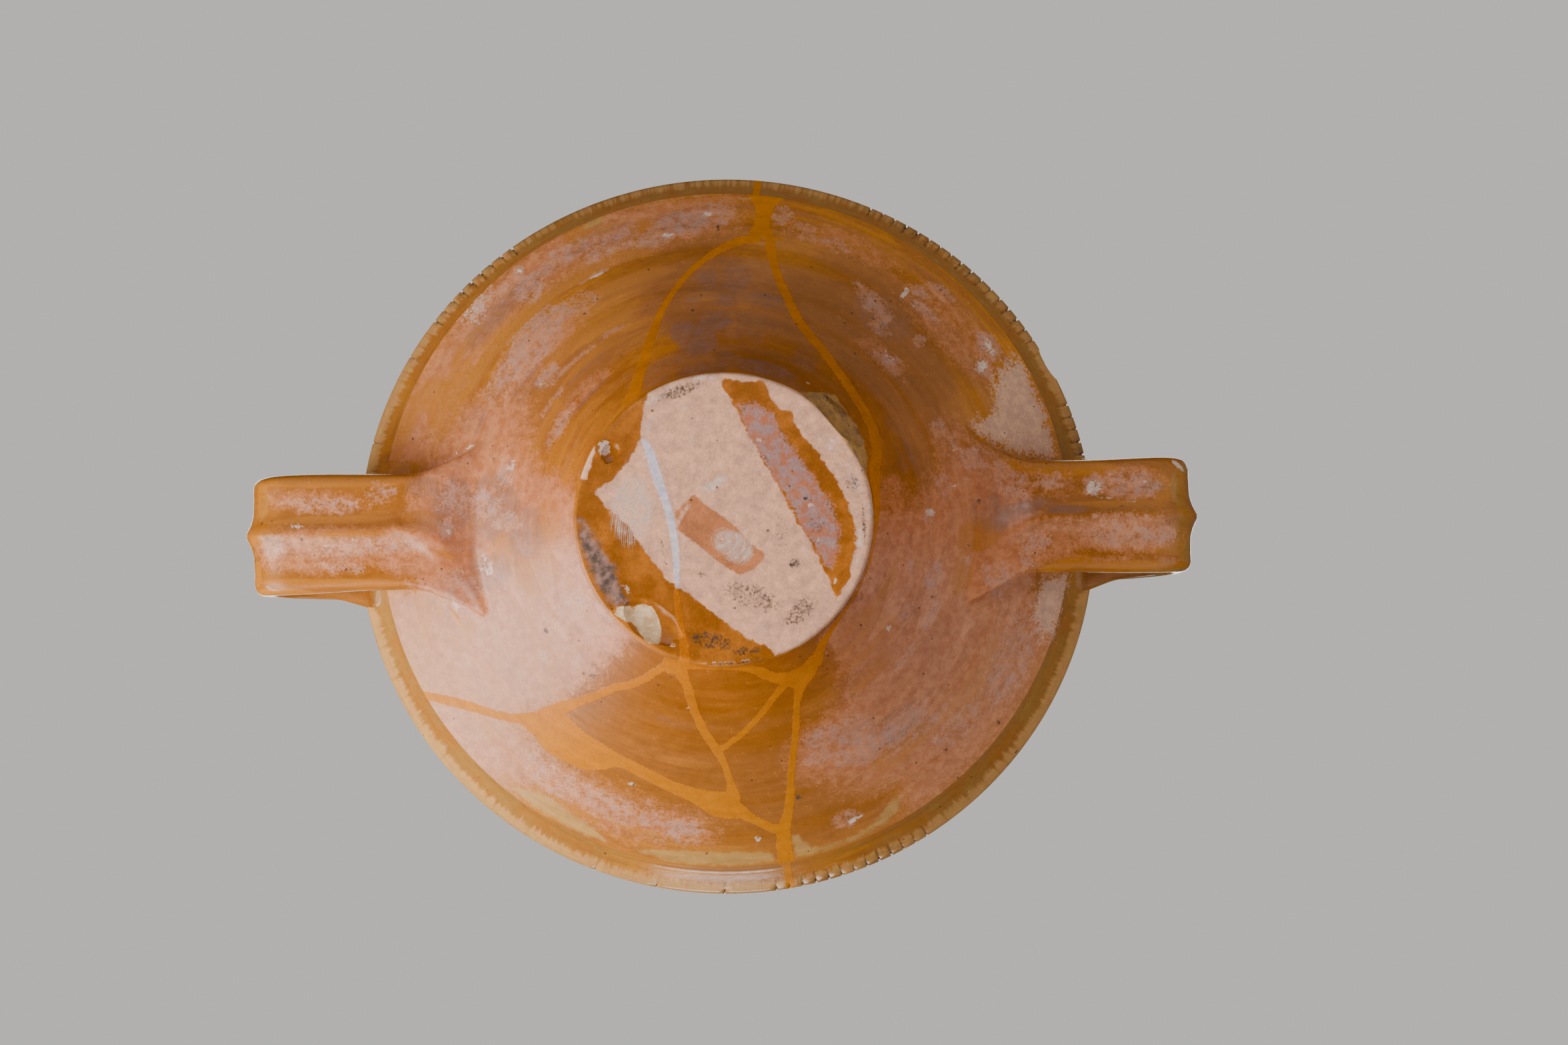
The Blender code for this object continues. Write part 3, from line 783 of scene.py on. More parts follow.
BALD_AREAS = (
    ((329, 118), (330, 110), (332.5, 105.5), (336, 103.5), (337.3, 98), (337.6, 93.5), (339.3, 93.5),
     (341, 96), (343.5, 101), (345.5, 107), (346.6, 114), (346.8, 119), (343.5, 118), (339.5, 119.3),
     (336, 118.3), (331.5, 120.5)),
    ((9.5, 113), (14, 111), (17, 113), (19, 117), (18.5, 121.5), (8, 121.5)),
    ((219, 118.4), (220.5, 115.3), (222.4, 115.8), (223.8, 118), (226, 121.2), (222, 119.8)),
)

# Decayed glaze: angle, radius, half angle, half width and strength
LILAC_WALL = (
    (15, 74, 5, 3.5, 0.75), (27, 70, 3, 2.5, 0.6), (24, 78, 5, 2.2, 0.7), (37, 78, 5, 1.6, 0.6),
    (58, 86, 5, 5, 0.85), (66, 82, 5, 3.5, 0.85), (68.5, 88, 4, 2.2, 0.75), (50, 94, 8, 4, 0.9),
    (58, 94, 4, 4, 1.0), (63, 92, 3, 3, 0.75), (26, 111, 9, 7, 0.6), (41, 108, 7, 5, 0.45),
    (13, 97, 3, 2.5, 0.75), (5, 106, 3, 5, 0.6), (18, 108, 2, 3, 0.6), (48, 99, 9, 2.5, 0.5),
    (68, 112, 3, 3, 0.6), (98, 108, 4, 3.5, 0.75), (111, 107, 12, 5, 0.55), (124, 108, 8, 5, 0.5),
    (100, 113, 5, 2, 0.4), (185, 82, 4, 5, 0.7), (193, 77, 4, 3, 0.85), (180, 74, 3, 5, 0.6),
    (211, 65.5, 8, 2.2, 0.8), (216, 72.5, 5, 1.3, 0.5), (220, 80, 4, 3, 0.75), (222, 89, 9, 4, 0.75),
    (226, 94, 11, 5, 0.85), (213, 93, 6, 4, 0.55), (237, 93, 5, 4, 0.55), (226, 99.5, 7, 0.8, 0.9),
    (243, 100, 4, 0.7, 0.95), (228, 76.5, 9, 0.8, 0.8), (240, 77.5, 5, 0.9, 0.75), (231, 110, 3, 6, 0.65),
    (240, 113, 8, 4, 0.55), (228, 116, 6, 3, 0.45), (250, 110, 4, 5, 0.55), (256, 106, 5, 3, 0.85),
    (262, 110, 6, 5, 0.8), (268, 113, 4, 5, 0.65), (246, 107, 4, 3, 0.65), (232, 118, 1.0, 1.4, 1.0),
    (315, 79.5, 4.5, 2.2, 0.8), (316, 83, 2, 1, 0.65), (308, 87, 3, 2.5, 0.55), (303, 94, 4, 3.5, 0.7),
    (307, 91, 2, 3, 0.75), (300, 97, 3, 2, 0.55), (316, 94, 1.5, 3, 0.65), (312, 104, 4, 2, 0.8),
    (309, 108, 2, 3, 0.7), (312, 113.5, 3, 2.5, 0.7), (325, 113, 3, 4, 0.85), (328, 107, 2, 3, 0.8),
    (336, 81, 3, 3, 0.65), (340, 84, 2, 2, 0.55), (345, 88, 3, 4, 0.75), (350, 76, 4, 2.6, 0.65),
    (354, 104, 3, 8, 0.6), (291, 108, 3, 3, 0.5), (285, 109, 3, 4, 0.4), (359, 70, 1.6, 2.0, 0.9),
    (14, 66, 2, 2, 0.5), (280, 114, 2, 4, 0.5), (142, 52, 5, 1.2, 0.9), (150, 60, 5, 7, 0.55),
    (146, 67, 4, 2, 0.7), (143, 78, 2, 1.5, 0.7), (136, 68, 2, 5, 0.4),
)
# Thick glaze, deepest in colour, between the two worn sides
DEEP_AREA = (
    (50, 49), (53, 62), (57, 72), (70, 78), (76, 84), (74, 96), (66, 104), (60, 110), (60, 116), (75, 117),
    (90, 115), (94, 110), (92, 106), (104, 103), (118, 102), (134, 101.5), (133, 92), (130, 80), (128, 62),
    (126, 49), (88, 49),
)
DEEP_WALL = (
    (304, 82, 26, 26, 0.75), (264, 84, 12, 22, 0.55), (298, 58, 30, 6, 0.8), (352, 92, 5, 12, 0.5),
    (345, 66, 10, 8, 0.6),
)
# Thin worn glaze over wide stretches
SALMON_AREAS = (
    ((-3, 49), (48, 49), (51, 56), (50, 62), (52, 70), (58, 75), (66, 79), (73, 83), (74, 90), (69, 96),
     (63, 104), (57, 110), (57, 122), (-8, 122), (-12, 112), (-9, 102), (-14, 96), (-20, 84), (-14, 76),
     (-6, 66), (-3, 56)),
    ((127, 49), (129, 62), (130, 70), (132, 84), (136, 94), (137, 101.5), (128, 102.5), (118, 102.6),
     (104, 103.5), (96, 105), (93, 108), (94, 111), (104, 113), (112, 114.5), (118, 113), (126, 113),
     (129, 118), (131, 122), (182, 122), (188, 112), (200, 102), (208, 96), (214, 84), (208, 76), (200, 72),
     (196, 64), (196, 56), (188, 49), (157, 49)),
    ((190, 104), (210, 105), (228, 107), (246, 106), (262, 106), (272, 110), (271, 119), (250, 122),
     (220, 122), (190, 122)),
)
SALMON_WALL = (
    (222, 90, 14, 8, 0.85), (222, 66, 12, 3, 0.6), (343, 84, 10, 8, 0.55), (292, 110, 12, 5, 0.5),
    (318, 106, 12, 9, 0.5), (313, 80, 8, 4, 0.5), (262, 110, 10, 6, 0.8), (352, 58, 8, 6, 0.5),
)
# Iron-dark glaze with a bluish bloom. The patches at 168 to 186 degrees, beside the left strap's flared root,
# are painted shade where the root meets the wall.
VIOLET_AND_SHADE_WALL = (
    (226, 111, 13, 5, 0.55), (247, 113, 9, 4, 0.5), (262, 111, 6, 5, 0.5), (215, 84, 6, 5, 0.4),
    (274, 80, 14, 20, 0.34), (255, 55, 24, 6, 0.5), (336, 66, 12, 5, 0.35), (262, 63, 6, 6, 0.9),
    # The thin arcs at 262, 284 and 298 degrees, just outside the foot, are painted shade of the foot's edge.
    (258, 67, 4, 5, 0.8), (268, 70, 5, 4, 0.65), (262, 53, 12, 2.6, 0.75), (284, 54, 14, 3, 0.7),
    (298, 52.5, 6, 2, 0.5), (273, 87, 4, 6, 0.65), (266, 87, 3, 4, 0.7), (270, 78, 4, 3, 0.6),
    (262, 78, 3, 3, 0.5), (184, 80, 9, 10, 0.8), (186, 94, 5, 6, 0.65), (177, 68, 9, 8, 0.62),
    (168, 84, 5, 12, 0.55), (50, 92, 8, 5, 0.62), (25, 71, 8, 2.5, 0.4), (203, 95, 4, 6, 0.45),
    (297, 63, 6, 5, 0.35), (307, 92, 8, 10, 0.4), (204, 57, 10, 1.5, 0.4), (224, 63.5, 10, 1.2, 0.6),
    (228, 72, 10, 1.0, 0.5), (276, 65, 8, 4, 0.45), (176, 90, 5, 9, 0.45), (60, 85, 5, 3, 0.4),
    (103, 72, 8, 2, 0.3),
)
ORANGE_WALL = (
    (140, 90, 14, 22, 0.42), (154, 116, 10, 6, 0.45), (148, 72, 15, 17, 0.43), (144, 108, 12, 10, 0.40),
    (162, 108, 8, 10, 0.42), (40, 62, 14, 10, 0.45), (32, 104, 14, 5, 0.40), (52, 100, 9, 5, 0.5),
    (12, 84, 7, 4, 0.55), (22, 60, 8, 3, 0.5), (46, 73, 9, 3, 0.55), (164, 66, 8, 9, 0.62),
    (172, 76, 7, 6, 0.6), (150, 57, 12, 3, 0.5), (158, 100, 5, 8, 0.5), (176, 62, 8, 5, 0.6),
    (206, 108, 9, 5, 0.6), (216, 112, 6, 2, 0.7), (198, 118, 8, 3, 0.6), (288, 96, 9, 3, 0.45),
    (222, 102.5, 22, 2.2, 0.9), (232, 73.5, 12, 1.6, 0.8), (205, 62, 12, 3, 0.7), (208, 69.5, 7, 1.6, 0.85),
    (215.5, 70, 1.6, 4, 0.85), (211, 66.5, 6, 1.0, 0.4), (200, 55, 10, 3, 0.6), (232, 83, 16, 2.5, 0.65),
    (250, 92, 10, 3.5, 0.7), (205, 113, 4, 6, 0.7), (244, 118, 3, 4, 0.7), (248.5, 115.5, 2, 2, 0.8),
    (255, 112, 3, 3, 0.7), (264, 80, 6, 2.2, 0.6), (255, 97, 8, 2, 0.5), (99, 85, 8, 1.8, 0.55),
    (104, 112.5, 6, 1.6, 0.7), (94, 114.5, 8, 1.5, 0.85), (119, 113.5, 8, 1.4, 0.8), (129, 118, 3, 2, 0.7),
    (66, 116.5, 6, 1.4, 0.6), (265, 61, 2, 6, 0.6), (272, 68, 2, 7, 0.5), (275, 80, 2.5, 6, 0.5),
    (95, 61, 12, 2, 0.4), (62, 71, 8, 4, 0.4), (180, 60, 10, 5, 0.5), (170, 54, 10, 3, 0.4),
    (242, 55, 8, 2, 0.5), (340, 118.5, 1.5, 1.2, 0.9),
)

# Under the foot, x and y in mm
CLAY_AREA = (
    (-26, -44), (-27, -38), (-28, -32), (-28, -28), (-30, -23), (-34, -18), (-38, -13), (-44, -9), (-40, -4),
    (-35, 0), (-30, 6), (-26, 12), (-22, 17), (-18, 22), (-14, 24), (-9, 28), (-4, 32), (2, 37), (8, 41),
    (14, 44), (18, 47), (28, 45), (40, 36), (50, 22), (56, 0), (52, -20), (42, -36), (26, -48), (8, -54),
    (-12, -52),
)
SPILL_AREA = (
    (-1, -48), (2, -48.5), (6, -47), (9, -47.5), (13, -48), (15, -45), (16, -41), (19, -38), (23, -37),
    (24, -33), (27, -28), (31, -24), (35, -18), (38, -14), (41, -8), (43, -2), (45, 4), (45, 9), (44, 12),
    (43, 17), (43, 21), (42, 25), (40, 29), (38, 32), (37, 30), (38, 26), (36, 22), (34, 18), (32, 13),
    (29, 8), (26, 3), (23, -3), (19, -10), (15, -17), (12, -22), (9, -28), (5, -36), (1, -43), (-1, -46),
)
SPILL_WORN = (
    (5, -39), (11, -40), (17, -36), (19, -31), (22, -26), (28, -18), (33, -10), (37, -4), (39, 4), (39, 11),
    (36, 18), (33, 14), (30, 8), (25, 0), (21, -8), (16, -16), (11, -24), (8, -30),
)
SOOT_AREA = (
    (-49, 0), (-46, 3), (-43, 8), (-40, 12), (-37, 16), (-36, 21), (-34, 26), (-32, 29), (-36, 30), (-40, 27),
    (-44, 20), (-48, 10),
)
FLAKE_AREA = (
    (-30, 30), (-27, 29.3), (-24, 30.5), (-22, 34), (-21, 38), (-21.5, 43), (-25, 43), (-28, 40),
    (-30.5, 36),
)
TRIANGLE_CHIP = ((-36, 30.5), (-31, 30), (-30, 36), (-33, 35.5), (-37, 33))
PALE_CHIP = ((-48, -27), (-45, -27.5), (-43.5, -24), (-45, -18), (-46, -13), (-49, -14), (-50, -22))
STRIPE = (
    (-27, -27, 0.9), (-25, -23, 1.4), (-23, -16, 1.7), (-21, -10, 1.5), (-19, -4, 1.3), (-17.5, 2, 1.2),
    (-16.5, 8, 1.2), (-16, 14, 1.1), (-15.8, 20, 0.9), (-15.6, 23.5, 0.7),
)
SMEAR_AREA = (
    (-10, -8.5), (-6.5, -5), (0, -0.5), (4.5, 3), (9, 8.5), (14.5, 12.5), (11, 17), (5.5, 19.5), (-1, 15.5),
    (-8, 9.5), (-16, 3.5), (-16.5, -2),
)
ARC_SPOTS = (
    (-31, -3, 9, 15, 0, 0.9), (3.5, 9.5, 9, 6, 35, 1.0), (-28, -18, 8, 9, 0, 0.6), (34, 4, 4, 14, -10, 0.55),
    (0, -32, 24, 8, 0, 0.35), (10, 30, 14, 5, 0, 0.4),
)
SMEAR_GAP = ((-11.5, -4.5, 0.6), (-14, -1.5, 0.7), (-15.8, 3, 0.5))
CHALK_SPOTS = (
    (45.5, 6, 12, 1.8, 95, 0.52), (-20, -43, 9, 2.2, -24, 0.5), (-3, -12, 5, 1.8, -30, 1.0),
    (-12, -38, 2.2, 0.9, -15, 1.1), (5.6, -2, 0.8, 0.6, 0, 1.1), (13, 37.5, 2.2, 0.9, 25, 1.1),
    (-24, -40, 3.0, 1.2, -50, 0.8), (-24.5, -33, 3.5, 1.4, -60, 0.85), (-27, -21.5, 3.5, 0.8, -35, 0.85),
    (-40.5, -24.5, 2.4, 2.6, 0, 1.1), (29.5, -4.5, 1.1, 0.9, 20, 1.0), (32.2, 8, 0.6, 1.3, 0, 1.1),
    (-6, -48.6, 6, 0.8, 0, 0.9), (12, -27, 1.2, 1.0, 0, 0.8), (38, 21.5, 1.5, 0.5, -40, 1.0),
    (46.5, 7, 1.0, 4.5, 0, 0.75), (-33, 24, 1.4, 3, -30, 0.7), (7.4, -37.8, 0.8, 0.8, 0, 0.9),
    (-17, 43.5, 1.4, 0.8, 0, 0.7), (3, 49, 9, 0.6, -5, 0.8), (49.6, -3, 0.8, 5, 0, 0.8),
    (-10, -28, 9, 0.35, -22, 0.75), (16, 34, 5, 0.25, -12, 0.8), (44, -14, 2.2, 9, -18, 0.55),
    (36, -26, 7, 2.5, 50, 0.5),
)
GRIME_SPOTS = (
    (47.6, 1, 11, 0.9, 88, 0.62), (44, -12, 5, 2.5, 60, 0.5), (24, 15.5, 2.4, 2.0, 0, 0.7),
    (-7.5, 19, 1.8, 1.6, 0, 0.6), (-4, 42, 9, 3.5, 10, 0.6), (8, 45.5, 6, 2, -5, 0.6),
    (10, 27, 12, 5, 20, 0.52), (-15, -44, 10, 2.5, -20, 0.6), (38, -38, 6, 1.6, 38, 0.7),
    (26, 32, 8, 4, -40, 0.55), (28, -7, 0.9, 0.9, 0, 0.9), (3.4, -43, 0.5, 0.5, 0, 0.6),
    (-20, 13, 0.7, 8, -12, 0.6), (3, 49.5, 14, 1.0, -6, 0.55), (32, 2, 4, 4, 0, 0.42),
    (20, 5, 3, 8, 0, 0.38), (-40, 30, 4, 3, 40, 0.4), (-30, 45, 3, 3, 0, 0.4),
)
GRIME_WALL = (
    (36, 118, 0.55, 1.0, 1.0), (75.2, 99.5, 0.7, 0.9, 1.0), (148, 71.8, 1.0, 1.0, 0.85),
    (130, 70, 1.0, 1.2, 0.8), (268.5, 107, 0.5, 1.6, 0.9), (305, 89, 1.0, 0.5, 0.85),
    (354.6, 88, 0.7, 1.3, 0.85), (6, 83.3, 0.6, 0.7, 0.9), (13, 55.5, 1.0, 0.5, 0.7),
    (19, 57.8, 1.4, 0.6, 0.7), (314, 55, 9, 1.8, 0.45), (34, 90, 1.0, 0.6, 0.5), (108, 57.3, 0.9, 0.7, 0.8),
    (84.4, 88, 0.8, 0.5, 0.7), (238.7, 68, 0.5, 0.5, 0.9), (195.8, 82.5, 0.7, 1.0, 0.7),
    (15, 115, 0.7, 1.0, 0.5), (155.5, 84, 0.5, 0.7, 0.6), (109.3, 96.8, 1.2, 1.2, 0.45),
    (188, 80, 4, 4, 0.3),
)
CHALK_WALL = (
    (33.5, 67.3, 1.4, 0.7, 1.2), (66.5, 113.3, 1.6, 0.9, 1.25), (232, 117.6, 0.7, 1.1, 1.1),
    (221, 119, 1.6, 1.8, 0.6), (109.3, 97, 0.8, 0.9, 0.8), (84, 111.5, 0.9, 0.9, 0.7),
    (301, 55, 1.4, 0.4, 1.0), (148, 71, 0.5, 0.9, 0.9), (170, 83, 3, 2.5, 0.6), (163, 97.5, 3, 1.0, 0.8),
    (243, 100, 3, 0.4, 0.9), (195, 76, 2, 1.6, 0.8), (217, 79.5, 3, 0.6, 0.6), (267, 113, 2, 1, 0.6),
    (259, 106.3, 1.5, 1.0, 0.8), (357.5, 70.5, 1.3, 1.8, 0.9), (100.5, 65.7, 0.6, 0.4, 0.9),
    (307, 104.5, 0.5, 4, 0.8), (310, 104, 0.5, 3.5, 0.75), (327, 106, 1.5, 3, 0.75), (325, 113, 2, 2.5, 0.7),
    (314, 82, 2.0, 1.5, 0.55), (345.5, 90, 0.5, 6, 0.7), (350.7, 82, 0.4, 2.5, 0.7), (342, 84, 0.4, 4, 0.6),
    (343.2, 81, 0.9, 0.5, 0.8), (175, 93.5, 1.4, 1.8, 0.55),
)

# On the handles, x and y in mm
LILAC_HANDLES = (
    (-91, 24, 9, 7, 40, 0.75), (-140, -7, 14, 3, 4, 0.55), (-119, -11, 6, 5, 0, 0.4),
    (-92, -9, 8, 7, 0, 0.55), (-130, 9, 16, 2.6, -6, 0.55), (-96, 2, 3, 3.5, 0, 0.8),
    (-112, 8, 8, 2.5, -10, 0.5), (-133, 15, 10, 2, 5, 0.5), (141, -15, 11, 5, 3, 0.6),
    (128, -14, 4, 4, 0, 0.8), (112, -15, 7, 4, 0, 0.55), (140, 4, 16, 4, 0, 0.75), (100, -14, 8, 5, 0, 0.45),
    (108, 7, 7, 4, -20, 0.55), (94, 18, 6, 5, -20, 0.7), (104, 13, 4, 2, 20, 0.6),
    (137, -3, 16, 1.6, -3, 0.5), (83, 13, 3, 2, 0, 0.6), (86, -23, 8, 1.0, 35, 0.7),
    (95, -20, 5, 3, 20, 0.5),
)
SALMON_HANDLES = (
    (-142, -8, 20, 5, 4, 0.64), (-140, 9, 26, 9, 0, 0.82), (-110, 10, 14, 9, 10, 0.9),
    (-100, -8, 12, 10, 0, 0.7), (138, 3, 24, 7, 0, 0.95), (112, 6, 16, 8, -15, 0.85),
    (140, -15, 14, 7, 0, 0.8), (95, 22, 14, 8, -30, 0.8), (115, -14, 10, 6, 0, 0.5),
    (138, 12, 24, 2, 0, 0.55),
)
# The patches at x -93 and -104 mm darken the left strap's flared root: painted shade of the root.
VIOLET_AND_SHADE_HANDLES = (
    (-93, -6, 9, 9, 0, 0.85), (-104, -13, 7, 4, 0, 0.6), (104, -6, 10, 3, -15, 0.7),
    (118, -5, 8, 2.5, 0, 0.6), (92, -4, 8, 8, 0, 0.5), (150, 3, 8, 4, 0, 0.4), (146, -14, 8, 3, 0, 0.5),
)
ORANGE_HANDLES = (
    (-135, -15.5, 26, 2.5, 0, 0.95), (-140, -1.6, 22, 1.3, 0, 0.9), (-129, 3.3, 17, 1.2, 0, 0.9),
    (-163, 5, 3, 2, 0, 0.9), (-163, 17, 1.5, 5, 0, 0.8), (-135, 20.5, 28, 1.4, 1, 0.95),
    (-152, 24, 14, 1.6, 3, 0.7), (-104, -1, 8, 4, 10, 0.8), (-96, 11, 5, 2, 20, 0.7),
    (-161, -9, 2.5, 8, 0, 0.6), (-121, -3, 8, 2.5, 0, 0.6), (138, -7.3, 20, 1.4, 0, 0.95),
    (120, -20, 18, 2.5, 0, 0.9), (140, 14, 24, 1.6, 0, 0.9), (152, -13, 3, 6, 0, 0.8),
    (88, 4, 9, 6, -25, 0.8), (105, -20, 16, 2.5, 10, 0.7), (118, 14, 10, 2, -15, 0.8),
    (154, 9, 6, 2, 0, 0.5),
)
OLIVE_HANDLES = (
    (160, -14, 5, 9, 0, 1.0), (161, 4, 5, 9, 0, 1.0), (155, 17, 30, 2.5, -4, 0.7),
    (-161, -8, 1.8, 8, 4, 0.6),
)
CHALK_HANDLES = (
    (-148, 0.3, 3.0, 1.1, 0, 1.0), (-128, 5, 1, 1.4, 0, 0.7), (-84, 16, 2.2, 1.4, 20, 0.8),
    (-91, 16, 1, 1, 0, 0.6), (128, -13, 3, 3.4, 0, 0.75), (136, -8.8, 7, 0.7, 4, 0.8),
    (158, -21.5, 3.4, 1.0, 35, 1.0), (-95, 3, 1.0, 2.0, 0, 0.7), (-88.5, -27.3, 2.5, 0.5, -20, 1.0),
    (-95, -24.5, 4.0, 0.4, -32, 0.8), (-92.5, 29, 3.0, 0.6, 55, 0.8), (124, -17.5, 0.3, 0.7, 0, 0.9),
    (85, -27, 6, 0.4, 32, 0.6), (84, -15.5, 2, 0.3, 10, 0.7), (-136, 7, 5, 1.0, -15, 0.5),
    (146, -16, 1.5, 0.5, 0, 0.6),
)
GRIME_HANDLES = (
    (88, -9, 1.2, 0.8, -40, 0.9), (84, 7.6, 0.8, 0.7, 0, 0.9), (134, -5, 0.5, 0.4, 0, 0.9),
    (146, 15, 0.9, 0.4, 0, 0.8), (-93, -12, 1.2, 1.2, 0, 0.5), (-100, -17, 8, 1.2, 0, 0.35),
    (143, -6.6, 10, 0.35, 0, 0.55), (94, 28, 5, 0.5, -28, 0.7),
)

# How near the outer wall a point has to lie to be pushed by a crease
CREASE_REACH = 0.003

# Raised or pressed lines where the straps were smeared on: points in mm, height and half width
CREASES = (
    (((-108, -19), (-101, -21.5), (-95, -25), (-90, -27), (-86, -28.2)), 0.45, 0.9),
    (((-108, 21.5), (-101, 23), (-97, 26), (-94, 29), (-91.5, 32)), 0.5, 1.0),
    (((-91, 19), (-87.5, 23.5), (-84.5, 28), (-83.5, 31)), 0.4, 1.0),
    (((-84, 9), (-81, 14), (-80, 19)), 0.2, 1.5),
    (((105, 20), (98, 25), (92, 28.5), (86, 31)), -0.5, 0.7),
    (((84, -35), (90, -31.8), (96, -29.5), (103, -27)), -0.4, 0.8),
    (((-113, 1), (-108, 4), (-103, 8), (-98, 13)), 0.5, 1.6),
    (((118, -4), (108, -1), (99, 4), (92, 10)), 0.4, 1.8),
)


def surface_places(sizes, data):
    """Plan places in mm with the oval taken out, heights, and how far each point is off the outer skin."""
    points = np.empty(len(data.vertices) * 3)
    data.vertices.foreach_get("co", points)
    points = points.reshape(-1, 3)
    heights = points[:, 2]
    places = points[:, :2] / MM
    places[:, 1] /= squeeze(sizes, np.clip(heights, 0.0, sizes.bowl_height))
    radius = np.linalg.norm(places, axis=1) * MM
    wall = np.array([wall_point(sizes, u) for u in np.linspace(0.0, 1.0, 60)])
    wall_radius = np.interp(heights, wall[:, 1], wall[:, 0])
    outer = np.where(heights < sizes.shoulder_height, wall_radius, collar_radius(sizes, heights))
    return points, places, heights, outer - radius


def press_creases(sizes, data):
    """Push the outer wall in or out along the smeared edges of the straps."""
    points, places, heights, depth = surface_places(sizes, data)
    normals = np.empty(len(data.vertices) * 3)
    data.vertices.foreach_get("normal", normals)
    normals = normals.reshape(-1, 3)
    facing_down = (heights < sizes.shoulder_height) & (normals[:, 2] < -0.1)
    reachable = facing_down & (depth < CREASE_REACH)
    for line, high, half in CREASES:
        near = band(places, [(x, y, 0.0) for x, y in line])
        push = np.where(reachable, high * np.exp(-(near / half) ** 2), 0.0) * MM
        points += normals * push[:, None]
    data.vertices.foreach_set("co", points.ravel())
    data.update()


class Skin:
    """Where each point of the pot lies, and which part of the pot it belongs to."""

    def __init__(self, sizes, data):
        _, places, heights, depth = surface_places(sizes, data)
        self.places = places
        self.heights = heights
        self.radius = np.linalg.norm(places, axis=1)
        self.angle = np.degrees(np.arctan2(places[:, 1], places[:, 0])) % 360.0
        self.along = np.abs(places[:, 0])
        self.aside = np.abs(places[:, 1])
        self.inside = (depth > INSIDE_DEPTH) & (heights > sizes.floor_thickness * INSIDE_FLOOR_SHARE)
        self.on_foot = (heights < FOOT_FACE_TOP) & (self.radius < sizes.foot_radius / MM + 1.0)
        self.on_handle = depth < -HANDLE_STANDS_OFF
        self.on_collar = ~self.on_handle & (heights > sizes.shoulder_height) & ~self.inside
        wall_top = sizes.shoulder_height + WALL_MARKS_PAST_SHOULDER
        self.on_wall = ~self.on_handle & ~self.on_foot & (heights <= wall_top)
        self.under = ~self.on_collar & ~self.on_foot & ~self.inside
        near_strap = (self.along > STRAP_ZONE_FROM_MM) & (self.aside < STRAP_ZONE_HALF_MM)
        self.strap_zone = near_strap & (heights < sizes.bowl_height - STRAP_ZONE_BELOW_TOP)
        on_root = self.on_handle | (self.strap_zone & (self.aside < ROOT_HALF_MM))
        clear_of_root = smooth((ROOT_BEYOND_MM - self.along) / ROOT_FADE_MM)
        self.off_strap = np.where(on_root, clear_of_root, 1.0)
        self.notched = heights > sizes.bowl_height - POOLED_NOTCH_LENGTHS * NOTCH_LENGTH
        self.off_shoulder_mm = np.abs(heights - sizes.shoulder_height - SHOULDER_EDGE_ABOVE) / MM

    def with_straps(self, mark, spots):
        """The mark, and further patches of it on the straps."""
        return np.maximum(mark, np.where(self.strap_zone, patches(self.places, spots), OUTSIDE))


def fill_marks(skin):
    """The restorer's fills: drawn on the wall, upright on the collar, and one crack in the foot."""
    fills = deepest(skin.places, band, [polar(line) for line in FILL_LINES])
    fills = np.maximum(fills, deepest(skin.places, wall_area, FILL_AREAS))
    beside_strap = (skin.along > STRAP_MEETS_COLLAR_MM) & (skin.aside < STRAP_MEETS_COLLAR_HALF_MM)
    fills = np.where(skin.on_handle | beside_strap, FAR_OUTSIDE, fills)
    fills = np.where(skin.on_foot & ~skin.inside, band(skin.places, FOOT_CRACK), fills)
    upright = [half - np.abs(skin.angle - at) * COLLAR_MM_PER_DEG for at, half in COLLAR_FILLS]
    on_collar_side = skin.on_collar & (skin.radius > COLLAR_FILLS_FROM_MM)
    return {"fill": np.where(on_collar_side, np.max(upright, axis=0), fills)}


def wall_marks(skin):
    """Bare, worn, decayed and pooled places of the wall and the straps, and painted shade: violet at the left
    strap's root and just outside the foot, and the deep glaze darkening the straps.
    """
    places = skin.places
    marks = {
        "cream": np.where(skin.on_wall, deepest(places, wall_area, CREAM_AREAS), NOWHERE),
        "bald": np.where(skin.on_wall | skin.on_collar, deepest(places, wall_area, BALD_AREAS), NOWHERE),
    }
    salmon = deepest(places, wall_area, SALMON_AREAS)
    salmon = np.maximum(salmon, 10.0 * wall_patches(places, SALMON_WALL) - 5.0)
    salmon = lerp(-SALMON_LIMIT, np.clip(salmon, -SALMON_LIMIT, SALMON_LIMIT), skin.off_strap)
    on_straps = np.where(skin.strap_zone, 12.0 * patches(places, SALMON_HANDLES) - 7.6, -SALMON_LIMIT)
    salmon = np.clip(np.maximum(salmon, on_straps), -SALMON_LIMIT, SALMON_LIMIT)
    marks["salmon"] = np.where(skin.under | skin.on_handle, salmon, -SALMON_LIMIT)
    deep = np.maximum(wall_area(places, DEEP_AREA), 12.0 * wall_patches(places, DEEP_WALL) - 5.0)
    # The straps take the deep glaze all over: amber glaze, and partly painted shade that darkens them
    marks["deep"] = np.where(skin.on_handle, DEEP_AND_SHADE_ON_HANDLES, np.where(skin.under, deep, NOWHERE))
    for name, on_wall, on_straps in (
        ("lilac", LILAC_WALL, LILAC_HANDLES), ("violet", VIOLET_AND_SHADE_WALL, VIOLET_AND_SHADE_HANDLES),
    ):
        fading = lerp(OUTSIDE, wall_patches(places, on_wall), skin.off_strap)
        marks[name] = skin.with_straps(np.where(skin.under, fading, OUTSIDE), on_straps)
    orange = np.where(skin.on_wall, wall_patches(places, ORANGE_WALL), OUTSIDE)
    marks["orange"] = skin.with_straps(orange, ORANGE_HANDLES)
    beyond_root = smooth((skin.along - STRAP_STREAKS_FROM_MM) / STRAP_STREAKS_FADE_MM)
    marks["strap"] = beyond_root * smooth((STRAP_ZONE_HALF_MM - skin.aside) / STRAP_SIDE_FADE_MM)
    return marks


